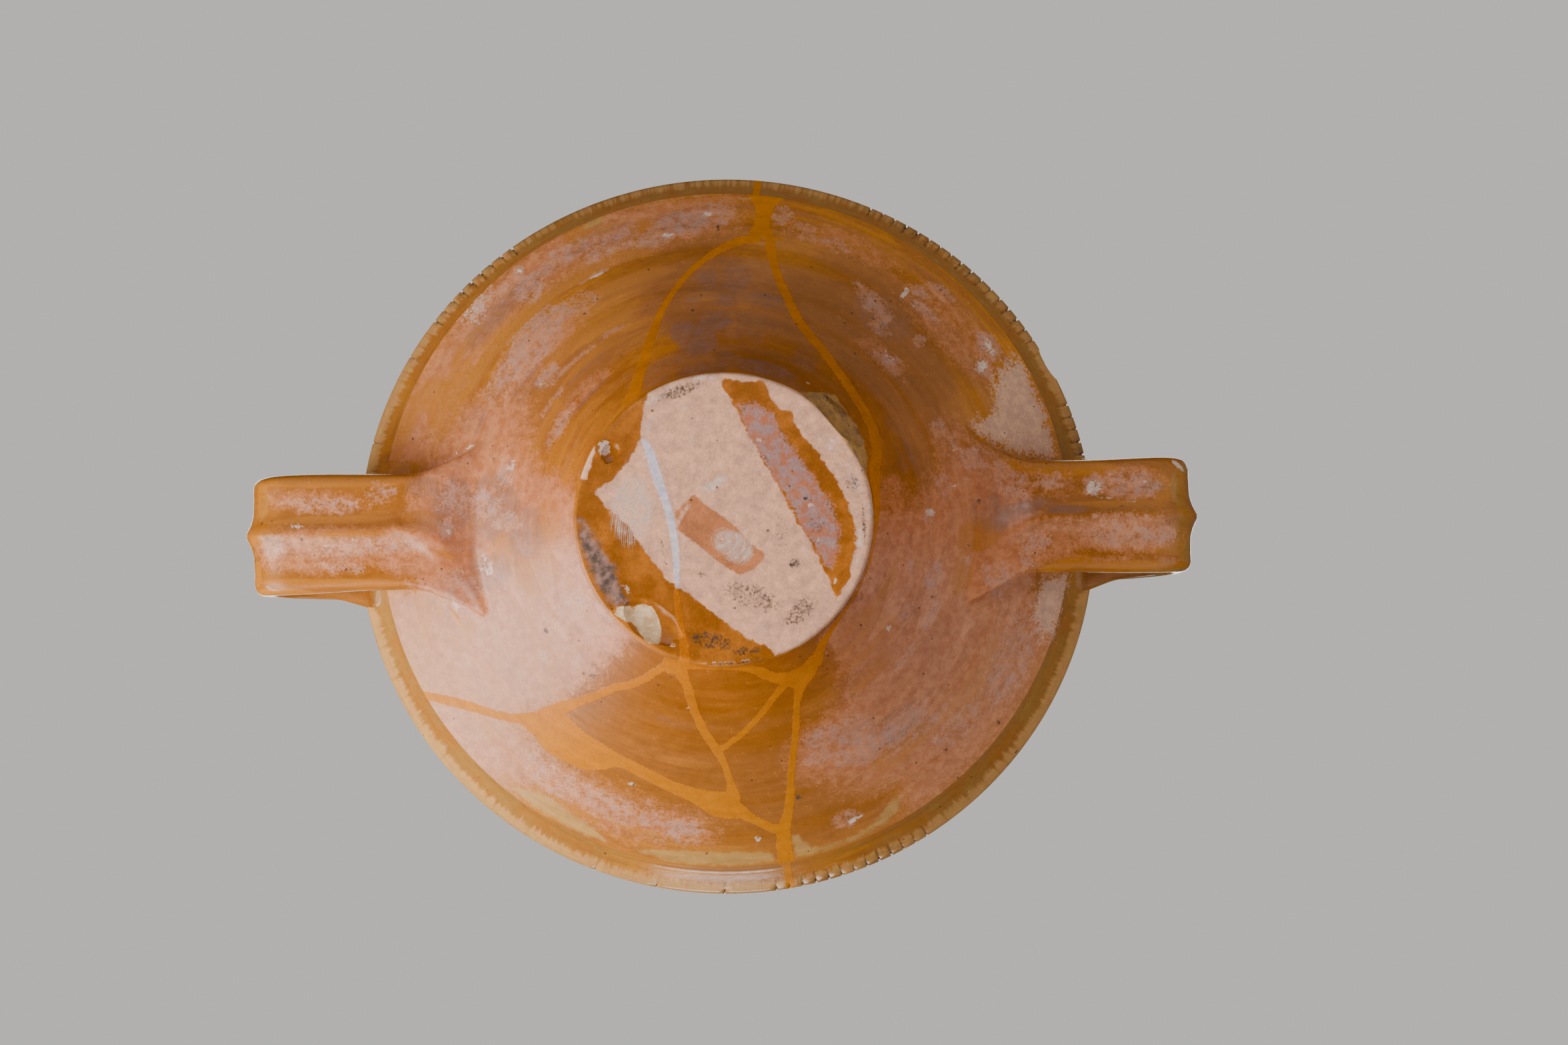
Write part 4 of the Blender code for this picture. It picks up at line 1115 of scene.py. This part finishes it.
def collar_marks(skin):
    """The collar's olive tinge, the bare lip, glaze pooled in its notches, and the worn shoulder edge, whose
    pale line is also a painted highlight.
    """
    browner = [smooth(1.6 - np.abs(skin.angle - at) / BROWN_HALF_DEG) for at in BROWN_COLLAR_DEG]
    olive = np.where(skin.on_collar, 0.8 - 0.5 * np.max(browner, axis=0), OUTSIDE)
    end_olive = np.where(skin.on_handle, patches(skin.places, OLIVE_HANDLES), OUTSIDE)
    whole = smooth(1.5 - np.abs(skin.angle - WHOLE_LIP_DEG) / WHOLE_LIP_HALF_DEG)
    bare = 2.0 * smooth((skin.heights - BARE_LIP_FROM) / BARE_LIP_FADE) - 1.0 - 0.75 * whole
    pooled = np.zeros(len(skin.places))
    for at, share in notch_places():
        gap = np.abs((skin.angle - at + 180.0) % 360.0 - 180.0)
        pooled = np.maximum(pooled, share * np.clip(1.0 - gap / POOLED_HALF_DEG, 0.0, 1.0))
    return {
        "olive": np.maximum(olive, end_olive),
        "lip": np.where(skin.inside | skin.on_handle, -1.0, bare),
        "pooled": np.where(skin.on_collar & skin.notched, pooled, 0.0),
        # Pale line along the shoulder edge: worn glaze and a painted highlight
        "edge": np.where(skin.on_handle | skin.inside, NOWHERE, SHOULDER_WEAR_AND_HIGHLIGHT_MM - skin.off_shoulder_mm),
    }


def foot_marks(skin):
    """Bare clay, spilt glaze, stripe, smear, soot and chips of the foot."""
    places = skin.places
    clay = deepest(places, area, (CLAY_AREA, PALE_CHIP))
    clay = np.minimum(clay, -area(places, SPILL_AREA))
    worn_rim = np.where(skin.angle < WORN_RIM_UP_TO_DEG, skin.radius - WORN_RIM_FROM_MM, NOWHERE)
    smear = np.minimum(area(places, SMEAR_AREA), -band(places, SMEAR_GAP))
    marks = {
        "clay": np.maximum(clay, worn_rim),
        "spill_worn": area(places, SPILL_WORN),
        "stripe": band(places, STRIPE),
        "smear": smear,
        "soot": area(places, SOOT_AREA),
    }
    marks = {name: np.where(skin.on_foot, mark, NOWHERE) for name, mark in marks.items()}
    marks["foot"] = np.where(skin.on_foot, 1.0, 0.0)
    marks["arcs"] = np.where(skin.on_foot, patches(places, ARC_SPOTS), OUTSIDE)
    marks["sliver"] = np.where(skin.heights < SLIVER_TOP, wall_area(places, SLIVER_AREA), NOWHERE)
    flake = deepest(places, area, (FLAKE_AREA, TRIANGLE_CHIP))
    near_foot = (skin.radius < FLAKE_REACH_MM) & (skin.heights < FLAKE_TOP)
    marks["flake"] = np.where(near_foot, flake, NOWHERE)
    return marks


def spot_marks(skin):
    """Whitish and dark spots, strewn over foot, wall and straps."""
    marks = {}
    for name, under_foot, on_wall, on_straps in (
        ("chalk", CHALK_SPOTS, CHALK_WALL, CHALK_HANDLES), ("grime", GRIME_SPOTS, GRIME_WALL, GRIME_HANDLES),
    ):
        spots = np.where(skin.on_foot, patches(skin.places, under_foot), OUTSIDE)
        spots = np.maximum(spots, np.where(skin.on_wall, wall_patches(skin.places, on_wall), OUTSIDE))
        marks[name] = skin.with_straps(spots, on_straps)
    return marks


def paint_marks(sizes, data):
    """Store how strongly each mark lies at each point, positive inside it."""
    skin = Skin(sizes, data)
    for kind in (fill_marks, wall_marks, collar_marks, foot_marks, spot_marks):
        for name, values in kind(skin).items():
            layer = data.attributes.new(name, "FLOAT", "POINT")
            layer.data.foreach_set("value", np.asarray(values, dtype=np.float32))


# Materials

def add_node(tree, kind, settings, inputs):
    """Add a node, set its settings, and fill or link its inputs."""
    made = tree.nodes.new(kind)
    for name, value in settings.items():
        setattr(made, name, value)
    for name, value in inputs.items():
        if isinstance(value, bpy.types.NodeSocket):
            tree.links.new(value, made.inputs[name])
        else:
            made.inputs[name].default_value = value
    return made


def maths(tree, operation, *values):
    return add_node(tree, "ShaderNodeMath", {"operation": operation}, dict(enumerate(values))).outputs[0]


def vector_maths(tree, operation, inputs, output=0):
    return add_node(tree, "ShaderNodeVectorMath", {"operation": operation}, inputs).outputs[output]


def blend(tree, share, first, second):
    """A value part of the way from the first to the second."""
    return add_node(tree, "ShaderNodeMix", {"data_type": "FLOAT"}, {0: share, 2: first, 3: second}).outputs[0]


def tinted(tree, share, first, second):
    """A colour part of the way from the first to the second."""
    return add_node(tree, "ShaderNodeMix", {"data_type": "RGBA"}, {0: share, 6: first, 7: second}).outputs[2]


def ranged(tree, value, start, end, low, high, curve="LINEAR"):
    """Low where the value is at the start, high where it is at the end, and held beyond them."""
    return add_node(tree, "ShaderNodeMapRange", {"interpolation_type": curve}, {
        "Value": value, "From Min": start, "From Max": end, "To Min": low, "To Max": high,
    }).outputs[0]


def painted(tree, name):
    """How strongly the mark of this name was stored at each point."""
    return add_node(tree, "ShaderNodeAttribute", {"attribute_name": name}, {}).outputs["Fac"]


# Noises shared by the marks: size in mm, and how much finer detail they carry
NOISES_MM = {"grit": (0.9, 2.0), "mottle": (3.2, 4.0), "cloud": (11.0, 4.0), "drift": (34.0, 3.0)}
STREAK_ACROSS_MM = 3.6
STREAK_ROUND_MM = 26.0
MIDDLE_RADIUS_MM = 90.0
COLLAR_RADIUS_MM = 125.0
SPECK_SPACING_MM = 5.2
RAY_MM = 1.6
RING_CENTRE = (-0.0005, 0.007, 0.0)
RING_SPACING_MM = 1.3
GLAZE_IOR = 1.52
GLAZE_SHEEN = 0.5
PLASTER_SHEEN = 0.12
RELIEF_STEPS = (("lilac", -0.12), ("clay", -0.25), ("fill", 0.15), ("stripe", 0.12), ("flake", -0.3))

# Each mark in the order it is laid: attribute, level at which it starts, softness of its edge,
# noise that frays it and by how much, its two colours, the noise that mixes them and how far,
# its roughness, and how much it covers
MARKS = (
    ("deep", 0.0, 6.0, "streak.R", 22.0, "deep", "amber", "streak.B", 0.5, 0.26, 0.90),
    ("salmon", 0.0, 6.0, "fray", 30.0, "salmon", "peach", "mottle.G", 0.8, 0.43, 0.88),
    ("orange", 0.42, 0.26, "streak.G", 0.9, "orange", "amber", "mottle.R", 0.6, 0.26, 0.7),
    ("violet", 0.45, 0.34, "streak.R", 1.3, "violet", "deep", "mottle.B", 0.5, 0.30, 0.66),
    ("olive", 0.46, 0.22, "streak.B", 1.1, "olive", "amber", "cloud.B", 0.7, 0.16, 0.85),
    ("lip", 0.20, 0.60, "ray", 3.4, "cream", "peach", "mottle.G", 0.6, 0.22, 0.85),
    ("pooled", 0.30, 0.24, "grit.G", 0.5, "iron", "deep", "mottle.R", 0.8, 0.24, 0.55),
    # The pale line along the shoulder edge: worn glaze, and a painted highlight on the edge
    ("edge", 0.10, 0.55, "mottle.R", 1.2, "peach", "lilac", "mottle.G", 0.8, 0.45, 0.60),
    ("lilac", 0.50, 0.45, "fray", 4.2, "lilac", "peach", "mottle.B", 0.8, 0.52, 0.62),
    ("cream", 0.00, 0.70, "mottle.R", 3.0, "cream", "olive", "streak.B", 0.45, 0.30, 0.84),
    ("bald", 0.00, 1.50, "fray", 21.0, "clay", "lilac", "mottle.R", 0.8, 0.60, 0.78),
    ("foot", 0.50, 0.05, "mottle.R", 0.0, "orange", "deep", "cloud.G", 0.75, 0.30, 1.00),
    ("spill_worn", 0.00, 0.80, "fray", 12.0, "ash", "salmon", "mottle.R", 0.85, 0.50, 0.84),
    ("clay", 0.00, 0.30, "mottle.B", 3.5, "clay", "lilac", "mottle.G", 0.36, 0.80, 1.00),
    ("smear", 0.00, 0.25, "grit.R", 1.5, "rust", "amber", "cloud.R", 0.8, 0.55, 0.85),
    ("arcs", 0.92, 0.14, "rings", 2.2, "chalk", "ash", "mottle.R", 0.7, 0.80, 0.75),
    ("sliver", 0.00, 0.35, "mottle.R", 2.0, "cream", "soot", "mottle.G", 0.45, 0.70, 0.9),
    ("soot", 0.00, 1.60, "mottle.B", 6.0, "soot", "lilac", "mottle.R", 0.8, 0.75, 0.85),
    ("flake", 0.00, 0.20, "grit.B", 0.8, "biscuit", "olive", "mottle.R", 0.60, 0.60, 1.00),
    ("fill", 0.00, 0.10, "grit.G", 1.3, "fill", "orange", "cloud.R", 0.3, 0.42, 1.00),
    ("stripe", 0.00, 0.22, "grit.R", 1.4, "stripe", "chalk", "mottle.G", 0.5, 0.60, 0.95),
    ("chalk", 0.66, 0.16, "fray", 4.2, "chalk", "lilac", "grit.B", 0.7, 0.62, 0.80),
    ("grime", 0.60, 0.25, "grit.G", 1.4, "iron", "soot", "mottle.G", 0.6, 0.55, 0.88),
)


def glazed_earthenware(colours):
    """Red earthenware thrown on the wheel and dipped in clear lead glaze.

    To the eye it is amber and glossy where the glaze is thick, salmon and satin where it is
    worn, lilac and matt where it has decayed, and pinkish and chalky where the clay is bare.
    """
    material = bpy.data.materials.new("lead glazed earthenware")
    material.use_nodes = True
    tree = material.node_tree
    tree.nodes.clear()
    place = add_node(tree, "ShaderNodeTexCoord", {}, {}).outputs["Object"]
    signals = noise_signals(tree, place)
    shade, gloss = sound_glaze(tree, colours, signals)
    shade, gloss = lay_marks(tree, colours, signals, shade, gloss)
    shade = uneven_depth(tree, signals, shade)
    shade = iron_specks(tree, place, colours.iron, shade)
    bump = fine_relief(tree, signals, gloss)
    # The restorer's fills are painted plaster and shine less than the glaze
    sheen = ranged(tree, signals["mask.fill"], 0.0, 1.0, GLAZE_SHEEN, PLASTER_SHEEN)
    shader = add_node(tree, "ShaderNodeBsdfPrincipled", {}, {
        "Base Color": shade, "Roughness": gloss, "Specular IOR Level": sheen, "IOR": GLAZE_IOR,
        "Normal": bump,
    })
    add_node(tree, "ShaderNodeOutputMaterial", {}, {"Surface": shader.outputs[0]})
    return material


def split(tree, texture, name, signals):
    """Keep the three colour channels of a noise as three signals."""
    parts = add_node(tree, "ShaderNodeSeparateColor", {}, {"Color": texture.outputs["Color"]})
    for letter, output in zip("RGB", parts.outputs):
        signals[name + "." + letter] = output


def noise_signals(tree, place):
    """Every noise that frays or mixes the marks, by name."""
    signals = {}

    # Cloudy noises in every direction, each split in three signals
    for name, (size_mm, detail) in NOISES_MM.items():
        cloud = add_node(tree, "ShaderNodeTexNoise", {}, {
            "Vector": place, "Scale": 1.0 / (size_mm * MM), "Detail": detail, "Roughness": 0.6,
        })
        split(tree, cloud, name, signals)

    # Streaks that run round the pot with the turning, and along the straps
    xyz = add_node(tree, "ShaderNodeSeparateXYZ", {}, {"Vector": place})
    level = {"X": xyz.outputs["X"], "Y": xyz.outputs["Y"]}
    flat = add_node(tree, "ShaderNodeCombineXYZ", {}, level).outputs[0]
    radius = vector_maths(tree, "LENGTH", {"Vector": flat}, "Value")
    heading = vector_maths(tree, "NORMALIZE", {"Vector": flat})
    around = vector_maths(tree, "SCALE", {"Vector": heading, "Scale": MIDDLE_RADIUS_MM / STREAK_ROUND_MM})
    upward = maths(tree, "ADD", radius, xyz.outputs["Z"])
    across = maths(tree, "MULTIPLY", upward, 1.0 / (STREAK_ACROSS_MM * MM))
    lifted = add_node(tree, "ShaderNodeCombineXYZ", {}, {"Z": across}).outputs[0]
    turned = vector_maths(tree, "ADD", {0: around, 1: lifted})
    stretch = tuple(1.0 / (size_mm * MM) for size_mm in (STREAK_ROUND_MM, STREAK_ACROSS_MM, STREAK_ROUND_MM))
    lengthwise = vector_maths(tree, "MULTIPLY", {0: place, 1: stretch})
    drawn = add_node(tree, "ShaderNodeMix", {"data_type": "VECTOR"}, {
        0: painted(tree, "strap"), 4: turned, 5: lengthwise,
    })
    streak = add_node(tree, "ShaderNodeTexNoise", {}, {
        "Vector": drawn.outputs[1], "Scale": 1.0, "Detail": 4.0, "Roughness": 0.62, "Distortion": 0.6,
    })
    split(tree, streak, "streak", signals)

    # Upright stripes on the collar, below the notches
    spread = vector_maths(tree, "SCALE", {"Vector": heading, "Scale": COLLAR_RADIUS_MM / RAY_MM})
    ray = add_node(tree, "ShaderNodeTexNoise", {}, {"Vector": spread, "Scale": 1.0, "Detail": 2.0})
    signals["ray"] = ray.outputs["Fac"]

    # Fine rings scratched round the middle of the foot while the pot was turned
    off_middle = vector_maths(tree, "DISTANCE", {0: place, 1: RING_CENTRE}, "Value")
    spaced = maths(tree, "MULTIPLY", off_middle, 1.0 / (RING_SPACING_MM * MM))
    rings = add_node(tree, "ShaderNodeTexNoise", {"noise_dimensions": "1D"}, {"W": spaced, "Detail": 2.0})
    signals["rings"] = blend(tree, 0.30, rings.outputs["Fac"], signals["mottle.G"])

    # Frayed signal for peeling glaze: mottling broken up by grit
    signals["fray"] = blend(tree, 0.45, signals["mottle.R"], signals["grit.B"])
    return signals


def sound_glaze(tree, colours, signals):
    """The glaze under all marks: deep and middle amber in streaks and clouds."""
    depth = blend(tree, 0.5, signals["streak.R"], signals["drift.G"])
    thin = ranged(tree, depth, 0.42, 0.62, 0.0, 1.0, "SMOOTHSTEP")
    shade = tinted(tree, thin, (*colours.amber, 1.0), (*colours.orange, 1.0))
    gloss = ranged(tree, signals["cloud.B"], 0.0, 1.0, 0.17, 0.28)
    return shade, gloss


def lay_marks(tree, colours, signals, shade, gloss):
    """Lay every mark over the glaze in turn, and keep each one's mask as a signal."""
    for name, level, soft, fray_by, fray, first, second, mix_by, mixed, roughness, cover in MARKS:
        frayed = maths(tree, "MULTIPLY_ADD", signals[fray_by], fray, -0.5 * fray)
        frayed = maths(tree, "ADD", frayed, painted(tree, name))
        mask = ranged(tree, frayed, level - soft, level + soft, 0.0, cover, "SMOOTHSTEP")
        varied = ranged(tree, signals[mix_by], 0.36, 0.64, 0.0, mixed, "SMOOTHSTEP")
        tint = tinted(tree, varied, (*getattr(colours, first), 1.0), (*getattr(colours, second), 1.0))
        shade = tinted(tree, mask, shade, tint)
        gloss = blend(tree, mask, gloss, roughness)
        signals["mask." + name] = mask
    return shade, gloss


def uneven_depth(tree, signals, shade):
    """Uneven depth of colour at every scale, streaky only on the wall."""
    calm = maths(tree, "MAXIMUM", painted(tree, "foot"), 0.62)
    uneven = blend(tree, calm, signals["streak.G"], signals["fray"])
    value = ranged(tree, uneven, 0.3, 0.7, 0.72, 1.22)
    return add_node(tree, "ShaderNodeHueSaturation", {}, {"Value": value, "Color": shade}).outputs[0]


def iron_specks(tree, place, iron, shade):
    """Burnt iron specks in the clay, one at most in each cell of a scattered net."""
    cells = add_node(tree, "ShaderNodeTexVoronoi", {}, {
        "Vector": place, "Scale": 1.0 / (SPECK_SPACING_MM * MM),
    })
    size = ranged(tree, cells.outputs["Color"], 0.35, 1.0, 0.0, 0.13)
    speck = maths(tree, "LESS_THAN", cells.outputs["Distance"], size)
    return tinted(tree, maths(tree, "MULTIPLY", speck, 0.7), shade, (*iron, 1.0))


def fine_relief(tree, signals, gloss):
    """Relief too fine for the mesh: pitted glaze, gritty clay, steps at the edges of peeled places."""
    height = maths(tree, "MULTIPLY", signals["mottle.B"], 0.25)
    for name, step in RELIEF_STEPS:
        height = maths(tree, "MULTIPLY_ADD", signals["mask." + name], step, height)
    rough_grit = maths(tree, "MULTIPLY", gloss, signals["grit.R"])
    height = maths(tree, "MULTIPLY_ADD", rough_grit, 0.35, height)
    return add_node(tree, "ShaderNodeBump", {}, {
        "Strength": 0.55, "Distance": 0.0004, "Height": height,
    }).outputs[0]


FLOOR_FADES_FROM = 0.6
FLOOR_CLEAR_SHARE = 0.48


def floor_paper(colour_value, floor_width):
    """Matt backdrop paper, rolled smooth, with the faintest fibre.

    To the eye it is plain and pale, and it fades into the pale room at its edges.
    Its back is clear, so the pot can be seen from below.
    """
    material = bpy.data.materials.new("pale backdrop paper")
    material.use_nodes = True
    tree = material.node_tree
    tree.nodes.clear()
    place = add_node(tree, "ShaderNodeTexCoord", {}, {}).outputs["Object"]
    fibre = add_node(tree, "ShaderNodeTexNoise", {}, {"Vector": place, "Scale": 400.0, "Detail": 2.0})
    darker = tuple(0.94 * c for c in colour_value)
    tint = tinted(tree, fibre.outputs["Fac"], (*colour_value, 1.0), (*darker, 1.0))
    paper = add_node(tree, "ShaderNodeBsdfPrincipled", {}, {"Base Color": tint, "Roughness": 0.9})
    clear = add_node(tree, "ShaderNodeBsdfTransparent", {}, {})
    facing = add_node(tree, "ShaderNodeNewGeometry", {}, {})
    outward = vector_maths(tree, "LENGTH", {"Vector": place}, "Value")
    faded = ranged(tree, outward, FLOOR_FADES_FROM, FLOOR_CLEAR_SHARE * floor_width, 0.0, 1.0, "SMOOTHSTEP")
    unseen = maths(tree, "MAXIMUM", facing.outputs["Backfacing"], faded)
    mixed = add_node(tree, "ShaderNodeMixShader", {}, {0: unseen, 1: paper.outputs[0], 2: clear.outputs[0]})
    add_node(tree, "ShaderNodeOutputMaterial", {}, {"Surface": mixed.outputs[0]})
    return material


# Operators and panel

class POTTERY_OT_make_bowl(bpy.types.Operator):
    """Throw the bowl, join its straps, notch and chip it, and glaze it"""

    bl_idname = "pottery.make_bowl"
    bl_label = "Make the bowl"

    def execute(self, context):
        sizes = context.scene.pot_sizes
        pot = as_object("pot", turned_mesh(sizes), 0)
        operands = [(as_object("strap", strap_mesh(sizes, handle), 1), "UNION") for handle in HANDLES]
        operands.append((as_object("damage", damage_mesh(sizes), 2), "DIFFERENCE"))
        carved(pot, operands)
        pot.name = "glazed_bowl"
        data = pot.data
        data.name = "glazed_bowl"
        soften_joins(data, SMEAR_RINGS, SMEAR_PASSES)
        press_creases(sizes, data)
        if len(data.vertices) < SEGMENTS * WALL_ROWS:
            raise RuntimeError("joining the straps or cutting the chips lost the pot's body")
        paint_marks(sizes, data)
        data.materials.clear()
        data.materials.append(glazed_earthenware(context.scene.glaze_colours))
        data.polygons.foreach_set("material_index", np.zeros(len(data.polygons), dtype=np.int32))
        data.shade_smooth()
        data.set_sharp_from_angle(angle=math.radians(SHARP_GLAZE_EDGE_DEG))
        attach(pot, BODY)
        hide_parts(CAD_NODE)
        return {"FINISHED"}


# Each light's direction round the pot and angle below the floor's level in degrees, then its
# distance, width and height in metres, and its watts
LIGHTS = {
    "left soft box": (152.0, 17.0, 0.62, 0.46, 0.40, 8.4),
    "right soft box": (30.0, 28.0, 0.85, 0.70, 0.50, 2.2),
    "low fill": (264.0, 58.0, 1.2, 0.70, 0.70, 4.6),
    "strip light": (92.5, -33.0, 1.6, 0.46, 0.05, 2.1),
    "top soft box": (250.0, -82.0, 1.8, 1.4, 1.4, 26.0),
}
AIM_HEIGHT = 0.04
ROOM_GLOW = 0.11
BACKDROP_GLOW = 0.85
FLOOR_GAP = 0.0003
SHARP_GLAZE_EDGE_DEG = 50.0
# Where the foot's middle lies from the camera: rightward, downward and forward
FOOT_SEEN = (-0.0205, -0.00135, 1.4745)


def soft_box(name, direction_deg, below_deg, distance, width, height, watts):
    """A soft studio light aimed at the pot: direction round it, and angle below the floor's level."""
    light = bpy.data.lights.new(name, "AREA")
    light.shape = "RECTANGLE"
    light.size = width
    light.size_y = height
    light.energy = watts
    lamp = bpy.data.objects.new(name, light)
    turn = math.radians(direction_deg)
    drop = math.radians(below_deg)
    level = distance * math.cos(drop)
    lamp.location = (level * math.cos(turn), level * math.sin(turn), AIM_HEIGHT - distance * math.sin(drop))
    aim = Vector((0.0, 0.0, AIM_HEIGHT)) - lamp.location
    lamp.rotation_euler = aim.to_track_quat("-Z", "Y").to_euler()
    lamp.visible_camera = False
    bpy.context.scene.collection.objects.link(lamp)
    return lamp


class POTTERY_OT_set_stage(bpy.types.Operator):
    """Lay the pale floor, set soft lights and place the camera"""

    bl_idname = "pottery.set_stage"
    bl_label = "Set the stage"

    def execute(self, context):
        settings = context.scene.pottery_stage
        half = settings.floor_width / 2
        mesh = bpy.data.meshes.new("floor")
        corners = [(-half, -half, 0), (half, -half, 0), (half, half, 0), (-half, half, 0)]
        mesh.from_pydata(corners, [], [(0, 1, 2, 3)])
        mesh.materials.append(floor_paper(settings.floor_colour, settings.floor_width))
        floor = bpy.data.objects.new("floor", mesh)
        floor.visible_shadow = False
        # A hair below the foot, so that the two faces don't lie in one plane
        floor.location.z = -FLOOR_GAP
        context.scene.collection.objects.link(floor)

        world = bpy.data.worlds.new("pale studio")
        world.use_nodes = True
        backdrop = world.node_tree.nodes["Background"]
        backdrop.inputs["Color"].default_value = (*settings.floor_colour, 1.0)
        # The backdrop looks pale, while the room round it lights the pot only dimly
        seen = add_node(world.node_tree, "ShaderNodeLightPath", {}, {})
        strength = ranged(world.node_tree, seen.outputs["Is Camera Ray"], 0.0, 1.0, ROOM_GLOW, BACKDROP_GLOW)
        world.node_tree.links.new(strength, backdrop.inputs["Strength"])
        context.scene.world = world

        lamps = {name: soft_box(name, *facts) for name, facts in LIGHTS.items()}
        # The left box stands half above the floor, and is shaded from it
        shaded = bpy.data.collections.new("shaded from the left box")
        shaded.objects.link(floor)
        lamps["left soft box"].light_linking.receiver_collection = shaded
        shaded.collection_objects[0].light_linking.link_state = "EXCLUDE"

        # The foot's middle lies a little right of and below the middle of the photograph
        tilt = settings.tilt
        right = Vector((1.0, 0.0, 0.0))
        down = Vector((0.0, math.cos(tilt), math.sin(tilt)))
        forward = Vector((0.0, -math.sin(tilt), math.cos(tilt)))
        camera = bpy.data.objects.new("camera", bpy.data.cameras.new("camera"))
        camera.data.lens = settings.focal_mm
        camera.data.sensor_width = 36.0
        camera.data.clip_end = 20.0
        where = -sum((axis * far for axis, far in zip((right, down, forward), FOOT_SEEN)), Vector())
        axes = Matrix((right, -down, -forward)).transposed().to_4x4()
        camera.matrix_world = Matrix.Translation(where) @ axes
        context.scene.collection.objects.link(camera)
        context.scene.camera = camera
        return {"FINISHED"}


class POTTERY_PT_sidebar(bpy.types.Panel):
    """Lists the bowl's sizes and colours and the buttons that make it"""

    bl_idname = "POTTERY_PT_sidebar"
    bl_label = "Glazed bowl"
    bl_space_type = "VIEW_3D"
    bl_region_type = "UI"
    bl_category = "Pottery"

    def draw(self, context):
        layout = self.layout
        for group in (context.scene.pot_sizes, context.scene.glaze_colours, context.scene.pottery_stage):
            box = layout.box()
            for name in group.bl_rna.properties.keys():
                if name not in ("rna_type", "name"):
                    box.prop(group, name)
        layout.operator(POTTERY_OT_make_bowl.bl_idname)
        layout.operator(POTTERY_OT_set_stage.bl_idname)


CLASSES = (
    PotSizes, GlazeColours, StageSettings, POTTERY_OT_make_bowl, POTTERY_OT_set_stage, POTTERY_PT_sidebar,
)


def register():
    for cls in CLASSES:
        bpy.utils.register_class(cls)
    bpy.types.Scene.pot_sizes = bpy.props.PointerProperty(type=PotSizes)
    bpy.types.Scene.glaze_colours = bpy.props.PointerProperty(type=GlazeColours)
    bpy.types.Scene.pottery_stage = bpy.props.PointerProperty(type=StageSettings)


def unregister():
    del bpy.types.Scene.pottery_stage
    del bpy.types.Scene.glaze_colours
    del bpy.types.Scene.pot_sizes
    for cls in reversed(CLASSES):
        bpy.utils.unregister_class(cls)


def main():
    register()
    bpy.ops.pottery.make_bowl()
    bpy.ops.pottery.set_stage()


if __name__ == "__main__":
    main()
